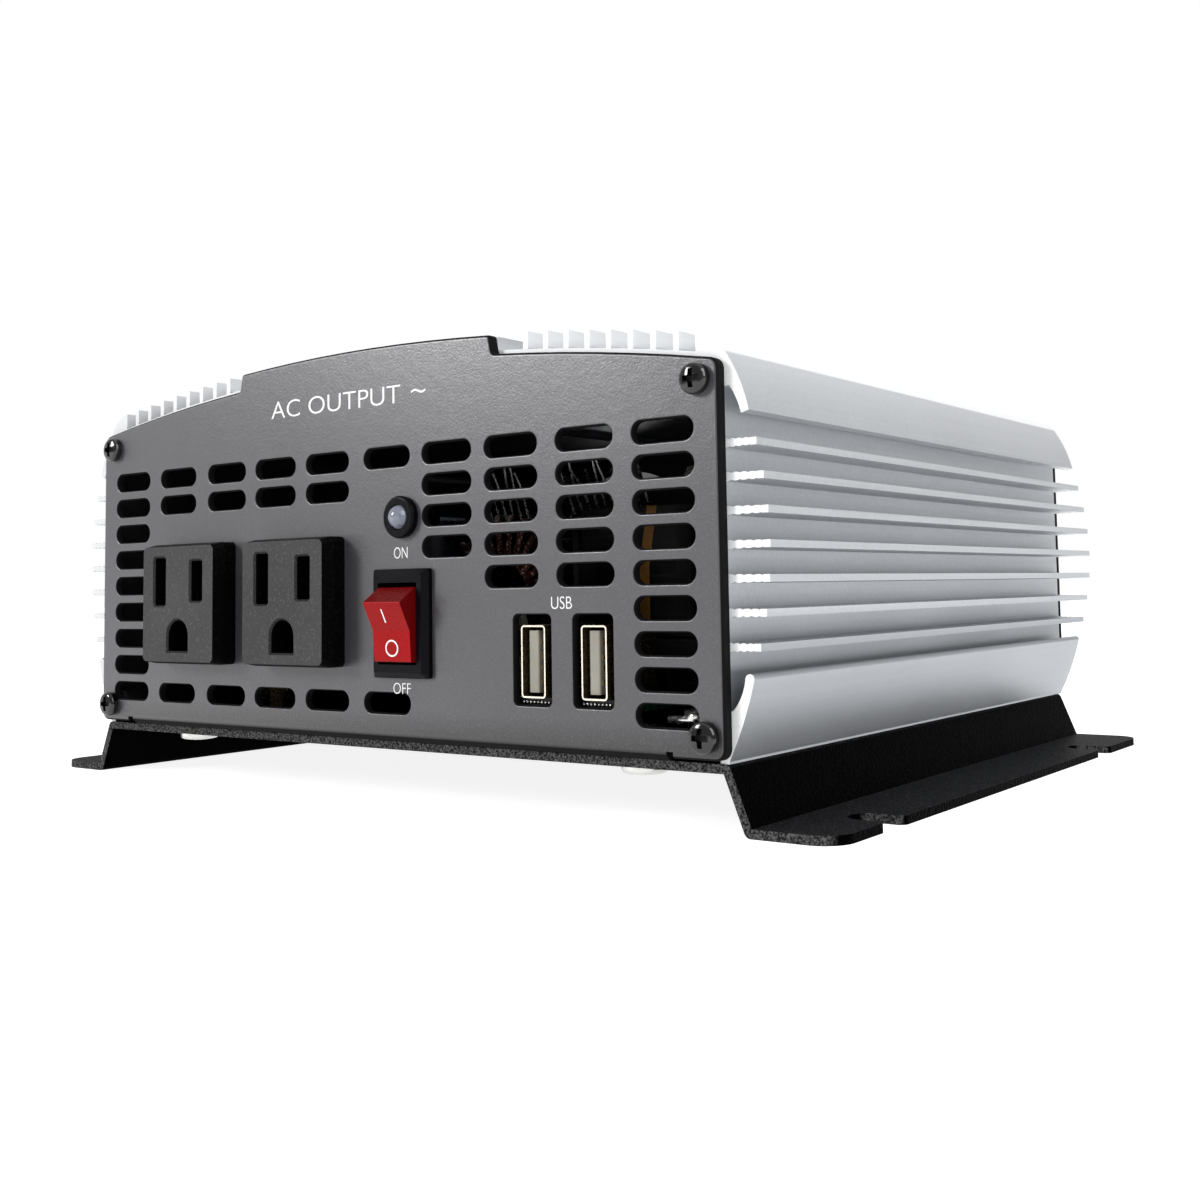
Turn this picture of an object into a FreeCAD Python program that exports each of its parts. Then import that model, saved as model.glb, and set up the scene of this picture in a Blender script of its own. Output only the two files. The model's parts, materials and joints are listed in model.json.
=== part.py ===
import FreeCAD, Part
import math
import os

V = FreeCAD.Vector
X_AXIS = V(1, 0, 0)
Y_AXIS = V(0, 1, 0)
Z_AXIS = V(0, 0, 1)

# Millimetres. X runs across the inverter, Y from the outlet end to the battery end, Z up.
# While it is drawn, Y = 0 is the face of the front panel and Z = 0 the underside of the feet.

# Base plate
SHEET = 1.6
PLATE_TOP = 11.6
PLATE_HALF = 85.7
PLATE_FRONT = 1.8
PLATE_BACK = 161.2
LEG_FOOT_X = 89.7
FLANGE_EDGE = 105.3
FLANGE_CORNER = 5.5
FOOT_SLOT_WIDTH = 7.0
FOOT_SLOT_END_X = 96.9
FOOT_SLOT_Y = (21.9, 133.5)
FOOT_SLOT_MOUTH_R = 1.5

# Extruded housing
HOUSING_FRONT = 2.1
HOUSING_BACK = 162.9
WALL_OUT = 85.6
WALL = 1.8
ARCH_R = 493.0
ROOF_APEX = 86.8
ROOF_THICK = 2.2
RIB_TOP_APEX = 90.17
RIB_THICK = 1.2
RIB_PITCH = 4.8
RIB_FIRST = 43.06
RIB_COUNT = 8
CROWN_HALF = 36.3
CROWN_FLOOR = 84.2
CROWN_APEX = 89.4
CROWN_WALL = 2.5
HOOK_START = 80.6
FIN_COUNT = 7
FIN_TOP_Z = 64.2
FIN_PITCH = 5.6
FIN_MID_Z = 47.4
FIN_REACH = 94.3
FIN_BOW_R = 64.1
FIN_ROOT_HALF = 0.58
FIN_NECK_HALF = 0.44
FIN_TIP_HALF = 0.62
FIN_TIP_LENGTH = 1.3
FIN_WAVES = 4
FIN_WAVE_DEPTH = 0.2
PORT_R = 3.2
PORT_BORE_R = 1.55

# End panels
FRONT_DEPTH = 2.1
REAR_DEPTH = 3.5
PANEL_SHEET = 1.5
FRONT_HALF = 86.2
REAR_HALF = 85.2
PANEL_BOTTOM = 12.2
PANEL_APEX = 85.9
PANEL_CORNER = 2.0
PANEL_EDGE_R = 0.65
TAB_HALF = 35.9
TAB_FOOT_HALF = 36.6
TAB_APEX = 89.5
LIP_HALF = 74.4
LIP_LENGTH = 20.0
LIP_RELIEF = 1.5
VENT_LENGTH = 12.5
VENT_HEIGHT = 3.9
VENT_PITCH = 6.0
VENT_TOP_Z = 67.1
VENT_CORNER_R = 1.9
VENT_EDGE_R = 0.4
VENT_ROWS = {
    -74.8: (1, 2, 3, 4, 5, 6, 7, 8, 9),
    -57.9: (1, 2, 9),
    -40.8: (1, 2, 9),
    -24.7: (1, 2, 9),
    -8.6: (1, 2, 9),
    8.6: (1, 9),
    24.7: (1, 2, 3, 4),
    40.8: (1, 2, 3, 4, 5),
    57.9: (1, 2, 3, 4, 5),
    74.8: (1, 2, 3, 4, 5, 6, 7, 8, 9),
}
PANEL_SCREWS = ((82.0, 75.1), (82.4, 16.0))
PANEL_SCREW_HEAD_R = 2.7
PANEL_SCREW_HEAD_H = 2.0
PANEL_SCREW_TURN = 40.0
BASE_SCREW_X = 63.0
BASE_SCREW_INSET = 10.0
BASE_SCREW_HEAD_R = 4.3

# Outlets
OUTLET_X = {"left": -50.2, "right": -16.0}
OUTLET_Z = 38.9
OUTLET_WIDTH = 25.2
OUTLET_HEIGHT = 26.2
OUTLET_STEP = 2.8
OUTLET_PROUD = 5.6
OUTLET_FACE_WIDTH = 24.3
OUTLET_FACE_HEIGHT = 25.0
OUTLET_BODY_WIDTH = 22.4
OUTLET_BODY_HEIGHT = 23.4
OUTLET_BODY_BACK = 24.0
BLADE_OFFSET = 6.35
BLADE_Z = 43.8
BLADE_SLOT_WIDTH = 3.9
NEUTRAL_SLOT_HEIGHT = 10.4
HOT_SLOT_HEIGHT = 8.7
EARTH_Z = 31.95
EARTH_R = 3.45
EARTH_FLAT_Z = 28.7

# Rocker switch
SWITCH_X = 13.4
SWITCH_Z = 34.55
SWITCH_WIDTH = 15.0
SWITCH_HEIGHT = 21.0
SWITCH_PROUD = 2.0
SWITCH_BEVEL = 1.1
SWITCH_MOUTH_WIDTH = 10.5
SWITCH_MOUTH_HEIGHT = 15.7
SWITCH_BODY_WIDTH = 13.0
SWITCH_BODY_HEIGHT = 19.0
SWITCH_BODY_BACK = 16.0
ROCKER_WIDTH = 9.9
ROCKER_PIVOT_Y = 1.2
ROCKER_TILT = 15.0
ROCKER_PIN_R = 1.2
PIVOT_CLEARANCE = 0.05

# Indicator lamp
LAMP_X = 13.1
LAMP_Z = 55.1
LAMP_RING_R = 4.15
LAMP_RING_PROUD = 1.5
LAMP_R = 2.45
LAMP_PROUD = 3.0

# USB ports
USB_X = {"left": 45.6, "right": 59.4}
USB_Z = 27.7
USB_WIDTH = 5.6
USB_HEIGHT = 13.0
USB_DEPTH = 15.0
USB_SKIN = 0.3
USB_TONGUE_LEFT = 1.25
USB_TONGUE_THICK = 2.3
USB_TONGUE_HEIGHT = 11.1
USB_WINDOW_WIDTH = 8.6
USB_WINDOW_HEIGHT = 16.2
USB_WINDOW_Z = 28.0

# Boards
BOARD_THICK = 1.6
BOARD_UNDERSIDE = 19.6
BOARD_HALF = 77.0
BOARD_FRONT = 32.0
BOARD_BACK = 140.0
BOARD_SCREW_R = 1.45

# Transformers, choke and power transistors
TRANSFORMER_X = 41.5
TRANSFORMER_Y = {"front": 54.0, "rear": 104.0}
CORE_WIDTH = 46.0
CORE_DEPTH = 16.0
CORE_BASE = 25.0
CORE_HEIGHT = 38.0
CORE_LEG = 14.0
WINDOW_WIDTH = 9.5
WINDOW_HEIGHT = 27.0
CHOKE_X = 0.0
CHOKE_Y = 52.0
CHOKE_Z = 40.0
CHOKE_R = 16.0
CHOKE_HOLE_R = 8.0
CHOKE_DEPTH = 12.0
TRANSISTOR_X = 72.2
TRANSISTOR_ROWS = (52.0, 66.0, 80.0, 94.0, 108.0, 122.0)

# Fan
FAN_X = -38.0
FAN_Z = 47.2
FAN_SIZE = 60.0
FAN_DEPTH = 20.0
FAN_BORE_R = 28.5
FAN_HOLE_PITCH = 50.0
FAN_BLADES = 7
FAN_BLADE_R = 27.3
FAN_HUB_R = 13.0
FAN_SHAFT_R = 1.5
GUARD_WIRE_R = 0.8

# Battery terminals
TERMINAL_X = {"positive": 28.0, "negative": 62.0}
TERMINAL_Z = 50.0
TERMINAL_STUD_R = 4.0
TERMINAL_BASE = 26.0
TERMINAL_BASE_THICK = 5.0
KNOB_R = 10.0
KNOB_FLUTES = 12
KNOB_BACK = 188.2
EARTH_STUD_X = 45.0
EARTH_STUD_Z = 24.0

PANEL_BACK_FACE = HOUSING_BACK + REAR_DEPTH
BACK_SHEET_IN = PANEL_BACK_FACE - PANEL_SHEET
BOARD_TOP = BOARD_UNDERSIDE + BOARD_THICK
FAN_BACK = BACK_SHEET_IN
FAN_FRONT = BACK_SHEET_IN - FAN_DEPTH
ROCKER_REACH = 6.09
DEPTH_CENTRE = (KNOB_BACK - ROCKER_REACH) / 2


# Shapes

def box(x0, x1, y0, y1, z0, z1):
    return Part.makeBox(x1 - x0, y1 - y0, z1 - z0, V(x0, y0, z0))


def rod_x(y, z, radius, x0, x1):
    return Part.makeCylinder(radius, x1 - x0, V(x0, y, z), X_AXIS)


def rod_y(x, z, radius, y0, y1):
    return Part.makeCylinder(radius, y1 - y0, V(x, y0, z), Y_AXIS)


def rod_z(x, y, radius, z0, z1):
    return Part.makeCylinder(radius, z1 - z0, V(x, y, z0), Z_AXIS)


def tube_y(x, z, outer, inner, y0, y1):
    return rod_y(x, z, outer, y0, y1).cut(rod_y(x, z, inner, y0 - 1, y1 + 1))


def prism(points, travel):
    wire = Part.makePolygon(list(points) + [points[0]])
    return Part.Face(wire).extrude(travel)


def joined(pieces):
    whole = pieces[0].multiFuse(pieces[1:]) if len(pieces) > 1 else pieces[0]
    return whole.removeSplitter()


def without(shape, cutters):
    return shape.cut(Part.makeCompound(cutters))


def both_sides(shape):
    return [shape, shape.mirror(V(0, 0, 0), X_AXIS)]


def straight_edges(shape, direction, test=lambda middle: True):
    found = []
    for edge in shape.Edges:
        if not isinstance(edge.Curve, Part.Line):
            continue
        along = edge.Vertexes[-1].Point - edge.Vertexes[0].Point
        middle = (edge.Vertexes[-1].Point + edge.Vertexes[0].Point) / 2
        if along.cross(direction).Length < 1e-6 * along.Length and test(middle):
            found.append(edge)
    return found


def edges_at_y(shape, y, test=lambda bounds: True):
    flat = [e for e in shape.Edges if abs(e.BoundBox.YMin - y) < 1e-4 and abs(e.BoundBox.YMax - y) < 1e-4]
    return [e for e in flat if test(e.BoundBox)]


def rounded_box_y(x, z, width, height, radius, y0, y1):
    solid = box(x - width / 2, x + width / 2, y0, y1, z - height / 2, z + height / 2)
    return solid.makeFillet(radius, straight_edges(solid, Y_AXIS))


def rounded_wire(x, z, width, height, radius, y):
    solid = rounded_box_y(x, z, width, height, radius, y, y + 1)
    face = [f for f in solid.Faces if abs(f.BoundBox.YMin - y) < 1e-4 and abs(f.BoundBox.YMax - y) < 1e-4]
    return face[0].OuterWire


def placed(shape, position, outward):
    turned = shape.copy()
    turned.Placement = FreeCAD.Placement(position, FreeCAD.Rotation(Z_AXIS, outward))
    return turned


def pan_head_screw(head_r, head_h, shank_r, length):
    """A cross-head screw along Z: its seat at Z = 0, its head above and its shank below."""
    rim, brow = V(head_r, 0, 0.45 * head_h), V(0.78 * head_r, 0, 0.86 * head_h)
    outline = [
        Part.makeLine(V(0, 0, 0), V(head_r, 0, 0)),
        Part.makeLine(V(head_r, 0, 0), rim),
        Part.Arc(rim, V(0.94 * head_r, 0, 0.72 * head_h), brow).toShape(),
        Part.Arc(brow, V(0.4 * head_r, 0, 0.965 * head_h), V(0, 0, head_h)).toShape(),
        Part.makeLine(V(0, 0, head_h), V(0, 0, 0)),
    ]
    head = Part.Face(Part.Wire(outline)).revolve(V(0, 0, 0), Z_AXIS, 360)
    reach, half, floor = 0.6 * head_r, 0.18 * head_r, 0.35 * head_h
    slot = box(-reach, reach, -half, half, floor, 2 * head_h)
    centre = Part.makeCylinder(0.3 * head_r, head_h, V(0, 0, floor), Z_AXIS)
    recess = [slot, slot.copy().rotate(V(0, 0, 0), Z_AXIS, 90), centre]
    shank = Part.makeCylinder(shank_r, length, V(0, 0, -length), Z_AXIS)
    return without(joined([head, shank]), recess)


def hex_nut(across_flats, bore_r, thick):
    corner_r = across_flats / math.sqrt(3)
    turns = [math.radians(60 * k) for k in range(6)]
    corners = [V(corner_r * math.cos(turn), corner_r * math.sin(turn), 0) for turn in turns]
    return prism(corners, V(0, 0, thick)).cut(Part.makeCylinder(bore_r, thick + 2, V(0, 0, -1), Z_AXIS))


def wire_run(points, radius):
    curve = Part.BSplineCurve()
    curve.interpolate([V(*p) for p in points])
    path = Part.Wire(curve.toShape())
    start = curve.value(curve.FirstParameter)
    heading = curve.tangent(curve.FirstParameter)[0]
    section = Part.Wire(Part.makeCircle(radius, start, heading))
    return path.makePipeShell([section], True, False)


# Housing

def arch_z(x, apex):
    return apex - (ARCH_R - math.sqrt(ARCH_R ** 2 - x ** 2))


def under_arch(half, apex, floor, y0, y1):
    spring = arch_z(half, apex)
    arc = Part.Arc(V(-half, y0, spring), V(0, y0, apex), V(half, y0, spring)).toShape()
    left, right = arc.Vertexes[0].Point, arc.Vertexes[-1].Point
    sides = [
        Part.makeLine(right, V(half, y0, floor)),
        Part.makeLine(V(half, y0, floor), V(-half, y0, floor)),
        Part.makeLine(V(-half, y0, floor), left),
    ]
    return Part.Face(Part.Wire([arc] + sides)).extrude(V(0, y1 - y0, 0))


def side_fin(index):
    """A fin whose upper and lower faces are scalloped along its length and whose tip is square."""
    z = FIN_TOP_Z - FIN_PITCH * index
    tip = FIN_REACH - (z - FIN_MID_Z) ** 2 / (2 * FIN_BOW_R)
    neck = tip - FIN_TIP_LENGTH
    y = HOUSING_FRONT
    step = (neck - WALL_OUT) / FIN_WAVES

    def half(x):
        return FIN_ROOT_HALF + (FIN_NECK_HALF - FIN_ROOT_HALF) * (x - WALL_OUT) / (neck - WALL_OUT)

    def scallops(side):
        edges = []
        for k in range(FIN_WAVES):
            x0, x1 = WALL_OUT + k * step, WALL_OUT + (k + 1) * step
            middle = (x0 + x1) / 2
            heights = ((x0, half(x0)), (middle, half(middle) + FIN_WAVE_DEPTH), (x1, half(x1)))
            edges.append(Part.Arc(*[V(x, y, z + side * height) for x, height in heights]).toShape())
        return edges

    inner = WALL_OUT - WALL / 2
    tip_corners = [(neck, half(neck)), (neck, FIN_TIP_HALF), (tip, FIN_TIP_HALF)]
    tip_corners += [(x, -height) for x, height in reversed(tip_corners)]
    root_corners = [(WALL_OUT, -FIN_ROOT_HALF), (inner, -FIN_ROOT_HALF), (inner, FIN_ROOT_HALF)]
    root_corners.append((WALL_OUT, FIN_ROOT_HALF))
    edges = scallops(1) + scallops(-1)
    for corners in (tip_corners, root_corners):
        edges += Part.makePolygon([V(x, y, z + height) for x, height in corners]).Edges
    loops = Part.sortEdges(edges)
    return Part.Face(Part.Wire(loops[0])).extrude(V(0, HOUSING_BACK - HOUSING_FRONT, 0))


def roof_rib(index):
    x = RIB_FIRST + RIB_PITCH * index
    left, right = x - RIB_THICK / 2, x + RIB_THICK / 2
    points = [
        V(left, HOUSING_FRONT, arch_z(x, ROOF_APEX) - ROOF_THICK / 2),
        V(right, HOUSING_FRONT, arch_z(x, ROOF_APEX) - ROOF_THICK / 2),
        V(right, HOUSING_FRONT, arch_z(right, RIB_TOP_APEX)),
        V(left, HOUSING_FRONT, arch_z(left, RIB_TOP_APEX)),
    ]
    return prism(points, V(0, HOUSING_BACK - HOUSING_FRONT, 0))


def upper_hook():
    y = HOUSING_FRONT
    top = V(HOOK_START, y, 83.7)
    knee = V(86.3, y, 79.8)
    tip = V(90.8, y, 69.4)
    groove = V(87.1, y, 73.8)
    outline = [
        Part.Arc(top, V(83.9, y, 82.3), knee).toShape(),
        Part.Arc(knee, V(89.0, y, 74.9), tip).toShape(),
        Part.makeLine(tip, V(89.3, y, 69.0)),
        Part.Arc(V(89.3, y, 69.0), V(88.3, y, 71.8), groove).toShape(),
        Part.makeLine(groove, V(WALL_OUT - WALL, y, 73.4)),
        Part.makeLine(V(WALL_OUT - WALL, y, 73.4), V(HOOK_START, y, 76.6)),
        Part.makeLine(V(HOOK_START, y, 76.6), top),
    ]
    return Part.Face(Part.Wire(outline)).extrude(V(0, HOUSING_BACK - HOUSING_FRONT, 0))


def lower_hook():
    y = HOUSING_FRONT
    foot = V(85.4, y, PLATE_TOP)
    tip = V(90.7, y, 25.4)
    inner = V(89.0, y, 25.6)
    outline = [
        Part.Arc(foot, V(88.4, y, 18.2), tip).toShape(),
        Part.Arc(tip, V(89.9, y, 26.3), inner).toShape(),
        Part.Arc(inner, V(88.0, y, 22.3), V(86.5, y, 20.2)).toShape(),
        Part.makeLine(V(86.5, y, 20.2), V(WALL_OUT - WALL, y, 20.6)),
        Part.makeLine(V(WALL_OUT - WALL, y, 20.6), V(WALL_OUT - WALL, y, PLATE_TOP)),
        Part.makeLine(V(WALL_OUT - WALL, y, PLATE_TOP), foot),
    ]
    return Part.Face(Part.Wire(outline)).extrude(V(0, HOUSING_BACK - HOUSING_FRONT, 0))


def housing_extrusion():
    y0, y1 = HOUSING_FRONT, HOUSING_BACK
    roof = under_arch(WALL_OUT, ROOF_APEX, PLATE_TOP, y0, y1)
    roof = roof.cut(under_arch(WALL_OUT - WALL, ROOF_APEX - ROOF_THICK, PLATE_TOP - 1, y0 - 1, y1 + 1))
    crown = under_arch(CROWN_HALF, CROWN_APEX, CROWN_FLOOR, y0, y1)
    pieces = [roof, crown]
    side = [upper_hook(), lower_hook()]
    side += [side_fin(k) for k in range(FIN_COUNT)]
    side += [roof_rib(k) for k in range(RIB_COUNT)]
    side += [rod_y(x, z, PORT_R, y0, y1) for x, z in PANEL_SCREWS]
    for piece in side:
        pieces += both_sides(piece)
    cavity = under_arch(CROWN_HALF - CROWN_WALL, CROWN_APEX - CROWN_WALL, 60.0, y0 - 1, y1 + 1)
    bores = []
    for x, z in PANEL_SCREWS:
        bores += both_sides(rod_y(x, z, PORT_BORE_R, y0 - 1, y1 + 1))
    return without(joined(pieces), [cavity] + bores)


# End panels

def panel_outline(full_half, inset, y0, y1):
    """The panel's outline, drawn inwards by the inset, as a prism from y0 to y1."""
    half, bottom = full_half - inset, PANEL_BOTTOM + inset
    foot, top = TAB_FOOT_HALF - inset, TAB_HALF - inset
    shoulder = PANEL_APEX - inset
    tab = TAB_APEX - inset
    middle = (half + foot) / 2

    def shoulder_arc(side):
        points = [V(side * x, y0, arch_z(x, shoulder)) for x in (half, middle, foot)]
        return Part.Arc(*points).toShape()

    ends = V(top, y0, arch_z(top, tab))
    edges = [
        Part.makeLine(V(-half, y0, bottom), V(half, y0, bottom)),
        Part.makeLine(V(half, y0, bottom), V(half, y0, arch_z(half, shoulder))),
        shoulder_arc(1),
        Part.makeLine(V(foot, y0, arch_z(foot, shoulder)), ends),
        Part.Arc(ends, V(0, y0, tab), V(-top, y0, ends.z)).toShape(),
        Part.makeLine(V(-top, y0, ends.z), V(-foot, y0, arch_z(foot, shoulder))),
        shoulder_arc(-1),
        Part.makeLine(V(-half, y0, arch_z(half, shoulder)), V(-half, y0, bottom)),
    ]
    solid = Part.Face(Part.Wire(Part.sortEdges(edges)[0])).extrude(V(0, y1 - y0, 0))
    corners = straight_edges(solid, Y_AXIS, lambda m: abs(m.x) > half - 0.1)
    solid = solid.makeFillet(PANEL_CORNER, corners)
    steps = straight_edges(solid, Y_AXIS, lambda m: abs(m.x) < TAB_FOOT_HALF + 1)
    return solid.makeFillet(0.8, steps)


def panel_lip():
    """The flange that turns back under the panel and takes the base screws."""
    y_bend = 2.2
    flat = box(-LIP_HALF, LIP_HALF, y_bend, LIP_LENGTH, PLATE_TOP, PLATE_TOP + PANEL_SHEET)
    bend = rod_x(y_bend, PLATE_TOP + y_bend, y_bend, -LIP_HALF, LIP_HALF)
    bend = bend.cut(rod_x(y_bend, PLATE_TOP + y_bend, y_bend - PANEL_SHEET, -LIP_HALF, LIP_HALF))
    quarter = box(-LIP_HALF, LIP_HALF, 0, y_bend, PLATE_TOP, PLATE_TOP + y_bend)
    corners = straight_edges(flat, Z_AXIS, lambda m: m.y > y_bend + 1)
    return [flat.makeFillet(4.0, corners), bend.common(quarter)]


def blank_panel(half, depth):
    tray = panel_outline(half, 0, 0, depth)
    tray = tray.makeFillet(PANEL_EDGE_R, edges_at_y(tray, 0))
    tray = tray.cut(panel_outline(half, PANEL_SHEET, PANEL_SHEET, depth + 1))
    clear = box(-LIP_HALF, LIP_HALF, -1, depth + 1, PANEL_BOTTOM - 1, PLATE_TOP + 2.2)
    reliefs = both_sides(box(LIP_HALF, LIP_HALF + LIP_RELIEF, -1, depth + 1, 0, PANEL_BOTTOM + 1.1))
    panel = joined([without(tray, [clear] + reliefs)] + panel_lip())
    holes = []
    for x, z in PANEL_SCREWS:
        holes += both_sides(rod_y(x, z, PORT_BORE_R + 0.15, -1, depth + 1))
    holes += both_sides(rod_z(BASE_SCREW_X, BASE_SCREW_INSET, 2.1, 0, PLATE_TOP + 5))
    return without(panel, holes)


def lamp_hole():
    return rod_y(LAMP_X, LAMP_Z, 3.25, -1, FRONT_DEPTH + 1)


def usb_windows():
    windows = []
    for x in USB_X.values():
        window = (x, USB_WINDOW_Z, USB_WINDOW_WIDTH, USB_WINDOW_HEIGHT, 1.0)
        windows.append(rounded_box_y(*window, -1, FRONT_DEPTH + 1))
    return windows


def vent_cutters(rows_by_column):
    cutters = []
    for x, rows in rows_by_column.items():
        for row in rows:
            z = VENT_TOP_Z - VENT_PITCH * (row - 1)
            vent = (x, z, VENT_LENGTH, VENT_HEIGHT, VENT_CORNER_R)
            cutters.append(rounded_box_y(*vent, -1, FRONT_DEPTH + 1))
    return cutters


def front_panel():
    panel = without(blank_panel(FRONT_HALF, FRONT_DEPTH), vent_cutters(VENT_ROWS) + usb_windows())
    softened = edges_at_y(panel, 0, lambda b: b.XLength < VENT_LENGTH and b.ZLength < USB_WINDOW_HEIGHT)
    inside = [e for e in softened if e.BoundBox.ZMin > PANEL_BOTTOM + 2 and abs(e.CenterOfMass.x) < 81.3]
    panel = panel.makeFillet(VENT_EDGE_R, inside)
    cutouts = [lamp_hole()]
    for x in OUTLET_X.values():
        cutout = (x, OUTLET_Z, OUTLET_BODY_WIDTH + 0.4, OUTLET_BODY_HEIGHT + 0.4, 1.0)
        cutouts.append(rounded_box_y(*cutout, -1, FRONT_DEPTH + 1))
    switch = (SWITCH_X, SWITCH_Z, SWITCH_BODY_WIDTH + 0.3, SWITCH_BODY_HEIGHT + 0.3, 0.8)
    cutouts.append(rounded_box_y(*switch, -1, FRONT_DEPTH + 1))
    return without(panel, cutouts)


def rear_panel():
    panel = blank_panel(REAR_HALF, REAR_DEPTH)
    cutouts = [rod_y(FAN_X, FAN_Z, FAN_BORE_R, -1, REAR_DEPTH + 1)]
    for dx in (-1, 1):
        for dz in (-1, 1):
            x, z = FAN_X + dx * FAN_HOLE_PITCH / 2, FAN_Z + dz * FAN_HOLE_PITCH / 2
            cutouts.append(rod_y(x, z, 2.2, -1, REAR_DEPTH + 1))
    for x in TERMINAL_X.values():
        cutouts.append(rod_y(x, TERMINAL_Z, 8.2, -1, REAR_DEPTH + 1))
    cutouts.append(rod_y(EARTH_STUD_X, EARTH_STUD_Z, 2.6, -1, REAR_DEPTH + 1))
    panel = without(panel, cutouts)
    panel = panel.mirror(V(0, 0, 0), Y_AXIS)
    panel.translate(V(0, PANEL_BACK_FACE, 0))
    return panel


def panel_screws(face_y, outward):
    screw = pan_head_screw(PANEL_SCREW_HEAD_R, PANEL_SCREW_HEAD_H, 1.5, 14.0)
    screw.rotate(V(0, 0, 0), Z_AXIS, PANEL_SCREW_TURN)
    spots = [(side * x, z) for side in (-1, 1) for x, z in PANEL_SCREWS]
    return Part.makeCompound([placed(screw, V(x, face_y, z), outward) for x, z in spots])


# Base plate

def base_section():
    """Half of the plate's section: a flat top, a sloping leg and a flange."""
    lean = math.atan2(LEG_FOOT_X - PLATE_HALF, PLATE_TOP - SHEET)
    shift = SHEET / math.cos(lean)
    under = SHEET * math.tan(lean)
    return [
        V(0, 0, PLATE_TOP),
        V(PLATE_HALF, 0, PLATE_TOP),
        V(LEG_FOOT_X, 0, SHEET),
        V(FLANGE_EDGE, 0, SHEET),
        V(FLANGE_EDGE, 0, 0),
        V(LEG_FOOT_X - shift + under, 0, 0),
        V(PLATE_HALF - shift + under, 0, PLATE_TOP - SHEET),
        V(0, 0, PLATE_TOP - SHEET),
    ]


def foot_slot(y):
    """An open-ended slot that runs in from the flange's outer edge, with a rounded mouth."""
    half, top = FOOT_SLOT_WIDTH / 2, SHEET + 1
    x = FOOT_SLOT_END_X + half
    cutter = joined([rod_z(x, y, half, -1, top), box(x, FLANGE_EDGE + 1, y - half, y + half, -1, top)])
    mouth = []
    for side in (-1, 1):
        edge_x, r = FLANGE_EDGE - FOOT_SLOT_MOUTH_R, FOOT_SLOT_MOUTH_R
        y_in, y_out = sorted((y + side * (half - 0.5), y + side * (half + r)))
        wedge = box(edge_x, FLANGE_EDGE + 1, y_in, y_out, -1, top)
        mouth.append(wedge.cut(rod_z(edge_x, y + side * (half + r), r, -1, top)))
    return joined([cutter] + mouth)


def base_plate():
    half = prism([p + V(0, PLATE_FRONT, 0) for p in base_section()], V(0, PLATE_BACK - PLATE_FRONT, 0))
    plate = joined(both_sides(half))
    outer = straight_edges(plate, Y_AXIS, lambda m: abs(m.x) < PLATE_HALF + 0.1 and m.z > PLATE_TOP - 0.1)
    outer += straight_edges(plate, Y_AXIS, lambda m: abs(m.x) < LEG_FOOT_X and m.z < 0.1)
    plate = plate.makeFillet(1.4, outer)
    corners = straight_edges(plate, Z_AXIS, lambda m: abs(abs(m.x) - FLANGE_EDGE) < 0.1)
    plate = plate.makeFillet(FLANGE_CORNER, corners)
    cutters = []
    for y in FOOT_SLOT_Y:
        cutters += both_sides(foot_slot(y))
    for y in base_screw_rows():
        cutters += both_sides(rod_z(BASE_SCREW_X, y, 2.1, 0, PLATE_TOP + 1))
    return without(plate, cutters)


def base_screw_rows():
    return (BASE_SCREW_INSET, PANEL_BACK_FACE - BASE_SCREW_INSET)


def base_screws():
    screw = pan_head_screw(BASE_SCREW_HEAD_R, 2.3, 1.95, 6.6)
    spots = [V(side * BASE_SCREW_X, y, PLATE_TOP - SHEET) for side in (-1, 1) for y in base_screw_rows()]
    return Part.makeCompound([placed(screw, spot, V(0, 0, -1)) for spot in spots])


def base_nuts():
    nut = hex_nut(7.0, 2.0, 3.2)
    z = PLATE_TOP + PANEL_SHEET
    spots = [V(side * BASE_SCREW_X, y, z) for side in (-1, 1) for y in base_screw_rows()]
    return Part.makeCompound([placed(nut, spot, Z_AXIS) for spot in spots])


# Outlets

def outlet_body(x):
    wide = rounded_wire(x, OUTLET_Z, OUTLET_WIDTH, OUTLET_HEIGHT, 1.2, -OUTLET_STEP)
    face = rounded_wire(x, OUTLET_Z, OUTLET_FACE_WIDTH, OUTLET_FACE_HEIGHT, 1.2, -OUTLET_PROUD)
    bezel = rounded_box_y(x, OUTLET_Z, OUTLET_WIDTH, OUTLET_HEIGHT, 1.2, -OUTLET_STEP, 0)
    taper = Part.makeLoft([face, wide], True, True)
    back = rounded_box_y(x, OUTLET_Z, OUTLET_BODY_WIDTH, OUTLET_BODY_HEIGHT, 0.8, 0, OUTLET_BODY_BACK)
    body = joined([bezel, taper, back])
    y0, y1 = -OUTLET_PROUD - 1, OUTLET_BODY_BACK + 1
    neutral = rounded_box_y(x - BLADE_OFFSET, BLADE_Z, BLADE_SLOT_WIDTH, NEUTRAL_SLOT_HEIGHT, 0.5, y0, y1)
    hot = rounded_box_y(x + BLADE_OFFSET, BLADE_Z, BLADE_SLOT_WIDTH, HOT_SLOT_HEIGHT, 0.5, y0, y1)
    earth = rod_y(x, EARTH_Z, EARTH_R, y0, y1)
    earth = joined([earth, box(x - EARTH_R, x + EARTH_R, y0, y1, EARTH_FLAT_Z, EARTH_Z)])
    below = box(x - 9, x + 9, y0, y1, OUTLET_Z - OUTLET_HEIGHT, EARTH_FLAT_Z)
    body = without(body, [neutral, hot, earth.cut(below)])
    rim = edges_at_y(body, -OUTLET_PROUD, lambda b: b.XLength < 11 and b.ZLength < 11)
    rim = [e for e in rim if abs(e.CenterOfMass.x - x) < 10 and abs(e.CenterOfMass.z - OUTLET_Z) < 11.5]
    return body.makeChamfer(0.4, rim)


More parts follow.
